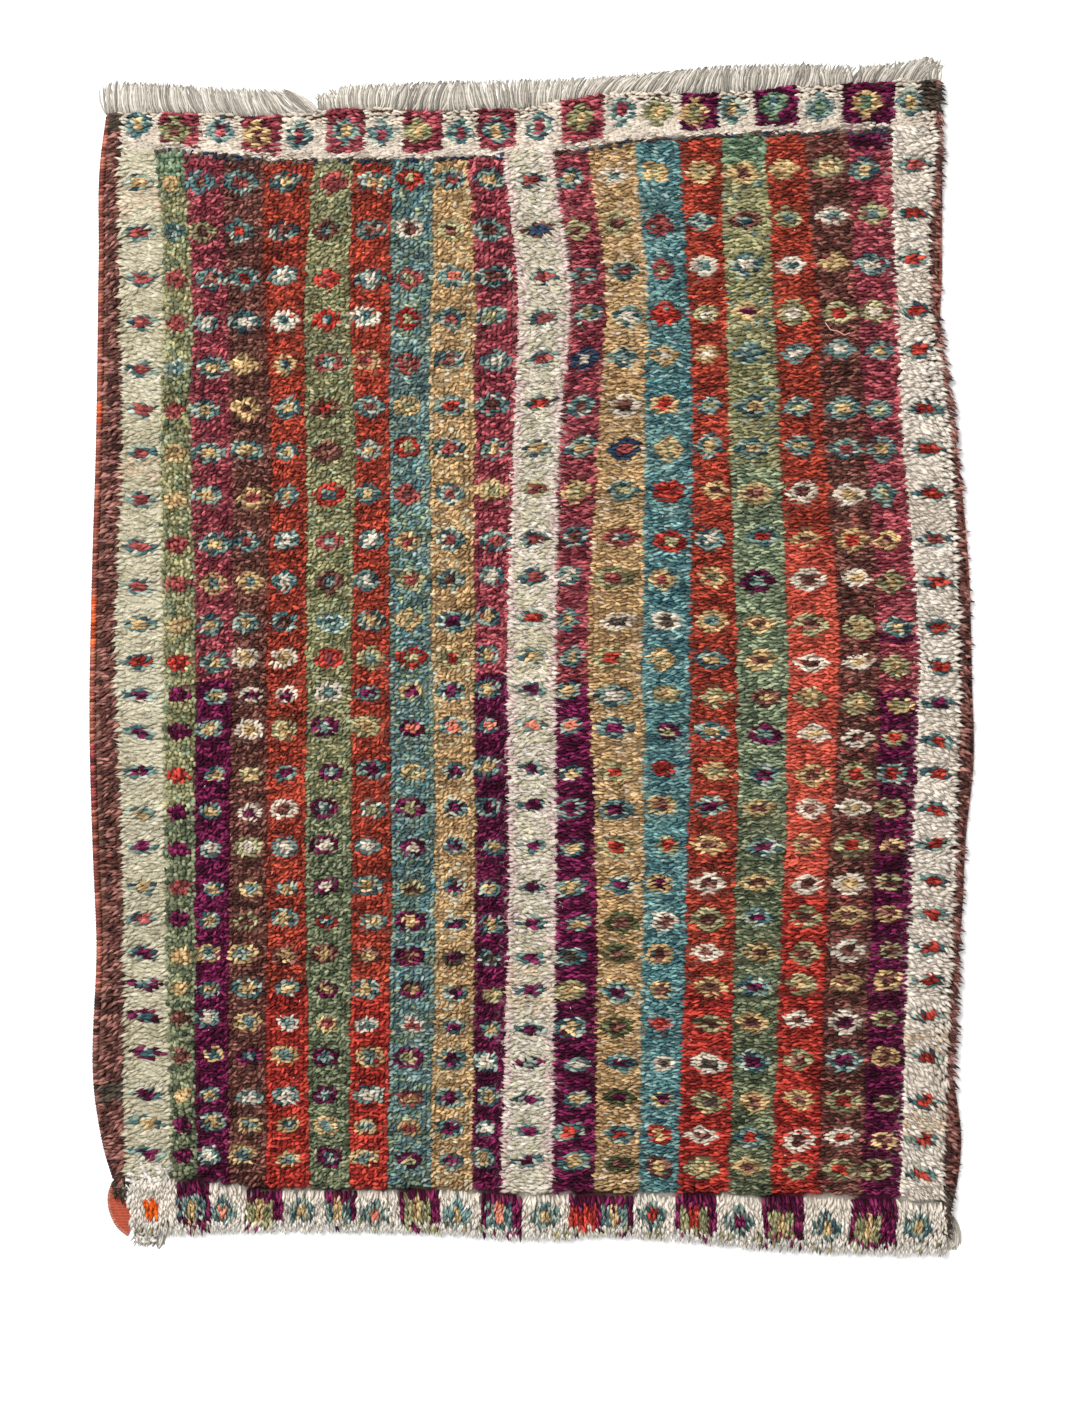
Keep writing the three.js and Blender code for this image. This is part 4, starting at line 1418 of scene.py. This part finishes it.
# %% Fringe
FRINGE_TIPS = (
    # x, y along the tips
    (-545, 717), (-530, 726), (-472, 723), (-400, 717), (-320, 714), (-272, 705),
    (-255, 712), (-240, 719), (-118, 725.5), (34, 728), (135, 734), (236, 745), (336, 747.5),
    (400, 741.5), (460, 748.5), (500, 755.6), (513, 747),
)
FRINGE_LEANS = (
    # x, how far the tips lean to the right
    (-541, -6), (-520, 0), (-500, -3), (-460, -8), (-420, -14), (-370, -15), (-330, -20),
    (-290, -34), (-268, -40), (-266, -5), (-220, -3), (-190, 6), (-150, 14), (-105, 8),
    (-90, -4), (-60, -12), (-30, -3), (0, 3), (40, 5), (75, 18), (130, 26), (180, 20),
    (215, 14), (245, 2), (280, 3), (310, 10), (345, 10), (370, -6), (395, 4), (430, 14),
    (470, 24), (488, 26), (496, 0), (512, 6),
)
FRINGE_ENDS = 1250
FRINGE_SPAN = (-538, 510)
FRINGE_CHANCE = 1.2
FRINGE_ROOT = 1
FRINGE_SWAY = 3
LONGEST = 4
CUT_BACK = 5
FRINGE_LEVEL = (0.9, 3.2)
FRINGE_THICK = (1.15, 1.7)
FLATTENED = 0.8
TIP_LEVEL = 0.5
WARP_SPREAD = 0.1


def warp_ends(name, x, y, tip_x, tip_y, levels, thickness):
    """Strands that lie from (x, y) to (tip_x, tip_y) and come down from their level to the floor."""
    count = len(x)
    level, thick = random.uniform(*levels, count), random.uniform(*thickness, count)
    reach = np.hypot(tip_x - x, tip_y - y)
    heading = np.arctan2(-(tip_x - x), tip_y - y)
    model = random.choice((WARP, WARP, WARP + 1, WARP + 2, WARP + 2, WARP + 3), count)
    bent = np.array([row[3] for row in MODELS.values()])[model]
    turn = rows_of(-math.pi / 2 - np.arctan2(level - TIP_LEVEL, reach), 0, heading + bent / 2)
    # a bent strand is longer than it reaches, by about bent² / 24 of its length
    size = rows_of(thick, FLATTENED * thick, reach / WARP_LONG * (1 + bent**2 / 24))
    colour = wool_colour(np.full(count, YARN["warp"]), random.random(count), WARP_SPREAD)
    return plant(name, rows_of(x, y, level), turn, size, model, colour)


x = np.linspace(*FRINGE_SPAN, FRINGE_ENDS)
x = x + random.uniform(-FRINGE_CHANCE, FRINGE_CHANCE, FRINGE_ENDS)
y = along(HEAD_EDGE, x) - FRINGE_ROOT
tip_x = x + np.interp(x, *zip(*FRINGE_LEANS))
tip_x = tip_x + random.uniform(-FRINGE_SWAY, FRINGE_SWAY, FRINGE_ENDS)
tip_y = np.interp(tip_x, *zip(*FRINGE_TIPS)) + LONGEST
tip_y = tip_y - CUT_BACK * random.random(FRINGE_ENDS) ** 2
fringe = warp_ends("fringe", x, y, tip_x, tip_y, FRINGE_LEVEL, FRINGE_THICK)
print("fringe of", FRINGE_ENDS, "ends:", len(fringe.data.polygons), "triangles")

# %% Bundles at the foot
LEFT_WARPS = 50
LEFT_SPAN = (-502, -460)
LEFT_ROOT = 3
LEFT_MIDDLE = -481
LEFT_GATHERED = 0.8
LEFT_LEAN = 3
LEFT_SWAY = 4
LEFT_LONG = (22, 31)
LEFT_LEVEL = (1.0, 3.6)
LEFT_THICK = (1.1, 1.5)
RIGHT_WARPS = 70
RIGHT_SPAN = (519, 531)
RIGHT_ROOTS = (-722, -704)
RIGHT_MIDDLE = 525
RIGHT_SPREAD = 1.5
RIGHT_LEAN = 3
RIGHT_SWAY = 2
RIGHT_TIPS = (-750, -742)
RIGHT_LEVEL = (1.0, 3.2)
RIGHT_THICK = (1.1, 1.4)
x = random.uniform(*LEFT_SPAN, LEFT_WARPS)
y = along(FOOT_EDGE, x) + LEFT_ROOT
tip_x = LEFT_MIDDLE + (x - LEFT_MIDDLE) * LEFT_GATHERED - LEFT_LEAN
tip_x = tip_x + random.uniform(-LEFT_SWAY, LEFT_SWAY, LEFT_WARPS)
tip_y = y - random.uniform(*LEFT_LONG, LEFT_WARPS)
bundle_left = warp_ends("bundle_left", x, y, tip_x, tip_y, LEFT_LEVEL, LEFT_THICK)
x = random.uniform(*RIGHT_SPAN, RIGHT_WARPS)
y = random.uniform(*RIGHT_ROOTS, RIGHT_WARPS)
tip_x = RIGHT_MIDDLE + RIGHT_LEAN + (x - RIGHT_MIDDLE) * RIGHT_SPREAD
tip_x = tip_x + random.uniform(-RIGHT_SWAY, RIGHT_SWAY, RIGHT_WARPS)
tip_y = random.uniform(*RIGHT_TIPS, RIGHT_WARPS)
bundle_right = warp_ends("bundle_right", x, y, tip_x, tip_y, RIGHT_LEVEL, RIGHT_THICK)
print("bundles:", *(len(made.data.polygons) for made in (bundle_left, bundle_right)), "triangles")

# %% [markdown]
# ## The red corner
#
# At the lower left corner the flat-woven hem shows as a small red tab. It is a grid between the
# side of the pile and the outline of the tab, thickened, with wool wrapped round its outer edge.

# %% Corner hem
HEM_OUTLINE = (
    (-529, -664), (-534.5, -677), (-535, -691), (-531, -706), (-523, -720), (-511.5, -729.5),
)
HEM_TOP = -664
HEM_LONG = 52
HEM_THICK = 3.0
HEM_GRID = (6, 14)
HEM_LIGHT = (212, 100, 70)
HEM_DARK = (112, 40, 32)
HEM_GROOVE_PAINTED_SHADE = 0.35
BIND_ENDS = (0.01, 0.99)
BIND_PITCH = 2.8
BIND_HALF = 2.2
BIND_THICK = 1.2
BIND_HIGH = 3.4
BIND_FOOT = 0.1
BIND_SHADES = 0.3


def along_outline(share):
    """Points on the outline of the tab, at shares of its length."""
    x, y = np.array(HEM_OUTLINE).T
    run = np.concatenate([[0], np.cumsum(np.hypot(np.diff(x), np.diff(y)))])
    table_x, table_y = tuple(zip(run, x)), tuple(zip(run, y))
    at = np.asarray(share) * run[-1]
    return along(table_x, at), along(table_y, at), run[-1]


def paint_hem(tree):
    place = tree.place()
    ribs = tree.node(
        "ShaderNodeTexWave",
        {"bands_direction": "Y"},
        {"Vector": place, "Scale": 85.0, "Distortion": 3.0, "Detail": 2.0, "Detail Scale": 3.0},
    )
    mottle = tree.noise(place, per_metre=210, detail=4.0, roughness=0.75)
    colour = tree.blend(mottle, rgba(HEM_LIGHT), rgba(HEM_DARK))
    # painted shade in the grooves between the ribs of the weave
    colour = tree.darken(colour, 1 - HEM_GROOVE_PAINTED_SHADE * (1 - ribs))
    return colour, tree.relief(ribs, strength=0.6, depth=0.0008)


def thicken(sheet, thickness):
    """Gives the active sheet its thickness, upwards from where it lies."""
    solid = sheet.modifiers.new("thickness", "SOLIDIFY")
    solid.thickness = thickness * MM
    solid.offset = 1
    bpy.ops.object.modifier_apply(modifier="thickness")


hem = grid_sheet("corner_hem_weave", HEM_GRID)
for point in hem.data.vertices:
    out, down = 0.5 - point.co.x, 0.5 - point.co.y
    far_x, far_y, _ = along_outline(down)
    near_y = HEM_TOP - HEM_LONG * down
    near_x = float(left_edge(near_y)) - SIDE_GAP
    point.co = ((near_x + (far_x - near_x) * out) * MM, (near_y + (far_y - near_y) * out) * MM, 0)
thicken(hem, HEM_THICK)
bpy.ops.object.mode_set(mode="EDIT")
bpy.ops.mesh.select_all(action="SELECT")
bpy.ops.mesh.normals_make_consistent(inside=False)
bpy.ops.object.mode_set(mode="OBJECT")
hem.data.materials.append(finish("hem weave", paint_hem, roughness=0.9))
_, _, run = along_outline(0)
share = np.arange(*BIND_ENDS, BIND_PITCH / run)
x, y, _ = along_outline(share)
heading = np.arctan2(np.gradient(y), np.gradient(x)) + math.pi / 2
count = len(share)
colour = wool_colour(np.full(count, YARN["brick"]), BIND_SHADES * random.random(count))
binding = (BIND_HALF, BIND_THICK, BIND_HIGH, BIND_FOOT)
hem_edge = arches("corner_hem_edge", x, y, heading, *binding, colour)
print("hem edge of", count, "turns")

# %% [markdown]
# ## Odd bits of the pile
#
# Near the lower left corner the weaver left a patch of uncut, curling wool, and a dark tuft beside
# it. More of that wool curls over the bundle at the foot, one pink thread lies loose on the pile at
# the upper right, and specks of lint cling all over. Such small accidents make a handmade thing
# believable, and each is only a few strands.

# %% Curls, dark tuft and loose thread
ALL_ROUND = (0, math.tau)
ODD_BITS = (
    # name, strands, x, y, level, thickness, length, yarn, turned, model
    ("corner_curls", 210, (-514, -458), (-686, -640), 7.0, 1.7, 0.8, "lint", ALL_ROUND, CURL),
    ("bundle_left_curls", 36, (-500, -479), (-738, -724), 3.6, 1.3, 0.58, "lint", ALL_ROUND, CURL),
    ("dark_tuft", 44, (-527, -511), (-676, -654), 2.2, 1.6, 0.8, "dark", (4.0, 5.4), LOCK),
)
SPECKS = ("lint_specks", 110, (-500, 500), (-640, 620), 12.5, 0.35, 0.22, "lint", ALL_ROUND, LOCK)
ODD_TILT = 0.4
ODD_LONG = (0.8, 1.2)
ODD_THICK = (0.9, 1.3)
THREAD = ((368, 421, 15.5), (374, 412, 17), (384, 410, 16.5), (392, 405, 17.5), (399, 408, 15.5))
THREAD_RADIUS = 0.7
pink = finish("pink thread", plain((206, 150, 140)), roughness=0.9)


def scattered(name, count, x_range, y_range, level, thick, long, yarn, turned, model):
    """Strands scattered over a small rectangle."""
    x, y = random.uniform(*x_range, count), random.uniform(*y_range, count)
    tilt = random.uniform(-ODD_TILT, ODD_TILT, count)
    turn = rows_of(0, tilt, random.uniform(*turned, count))
    long = random.uniform(*ODD_LONG, count) * long
    size = rows_of(long, random.uniform(*ODD_THICK, count) * thick, long)
    colour = wool_colour(np.full(count, YARN[yarn]), random.random(count))
    return plant(name, rows_of(x, y, level), turn, size, model, colour)


curls, bundle_curls, dark_tuft = (scattered(*bit) for bit in ODD_BITS)
thread = tube("loose_thread", THREAD, THREAD_RADIUS, pink)
specks = scattered(*SPECKS)
pile += [curls, dark_tuft, thread, specks]
print("odd bits:", *(len(made.data.polygons) for made in (*pile[-4:], bundle_curls)), "faces")

# %% [markdown]
# ## Foundation
#
# Under the pile lies the woven cloth itself, wool warps and wefts about 3 mm thick. It shows from
# below and as a thin edge, so a grid shaped to the outline and given a thickness is enough, with
# the rib of the weave as a bump and as painted shade in its grooves.

# %% Woven foundation
CLOTH_THICK = 3.0
CLOTH_GRID = (28, 38)
CLOTH_LIGHT = (140, 112, 88)
CLOTH_DARK = (92, 66, 54)
UNDER_TURNS = 1.2
CLOTH_GROOVE_PAINTED_SHADE = 0.6
CLOTH_RIB_PAINTED_LIGHT = 0.5
FIBRE_RELIEF = 0.4


def paint_foundation(tree):
    place = tree.place()
    ribs = tree.node(
        "ShaderNodeTexWave",
        {"bands_direction": "Y"},
        {"Vector": place, "Scale": 120.0, "Distortion": 1.5, "Detail": 1.0},
    )
    fibres = tree.noise(place, per_metre=700)
    colour = tree.blend(fibres, rgba(CLOTH_LIGHT), rgba(CLOTH_DARK))
    # painted shade in the grooves between the ribs, painted light on their tops
    colour = tree.darken(colour, CLOTH_GROOVE_PAINTED_SHADE + CLOTH_RIB_PAINTED_LIGHT * ribs)
    return colour, tree.relief(ribs + FIBRE_RELIEF * fibres, strength=0.6, depth=0.001)


foundation = grid_sheet("foundation", CLOTH_GRID)
for point in foundation.data.vertices:
    u, v = point.co.x + 0.5, point.co.y + 0.5
    left, right = edge_at_shares(left_edge, v), edge_at_shares(right_edge, v)
    x = left - UNDER_TURNS + (right - left + 2 * UNDER_TURNS) * u
    point.co = (x * MM, height_on_rug(x, v) * MM, 0)
thicken(foundation, CLOTH_THICK)
foundation.data.materials.append(finish("foundation weave", paint_foundation, roughness=0.95))
print("foundation", tuple(round(x, 3) for x in foundation.dimensions))

# %% [markdown]
# ## One rug
#
# A rug has no moving part, so every piece rides on the one body. A table lists for each group of
# pieces the slot of its finish and the plain solid of the imported model that it stands for, which
# is hidden. The foundation, with the pile on it, lies on the floor.

# %% Ride and what each piece stands for
STANDS_FOR = (
    ([*pile, foundation], "pile", "rug_body"),
    (left_cord, "overcast", "selvedge_left"),
    (right_cord, "overcast", "selvedge_right"),
    ([fringe], "warp", "fringe_top"),
    ([bundle_left, bundle_curls], "warp", "warp_ends_left"),
    ([bundle_right], "warp", "warp_ends_right"),
    ([hem, hem_edge], "hem", "corner_hem"),
)
for made, slot, node in STANDS_FOR:
    for piece in made:
        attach(piece, "root")
        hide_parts(node)
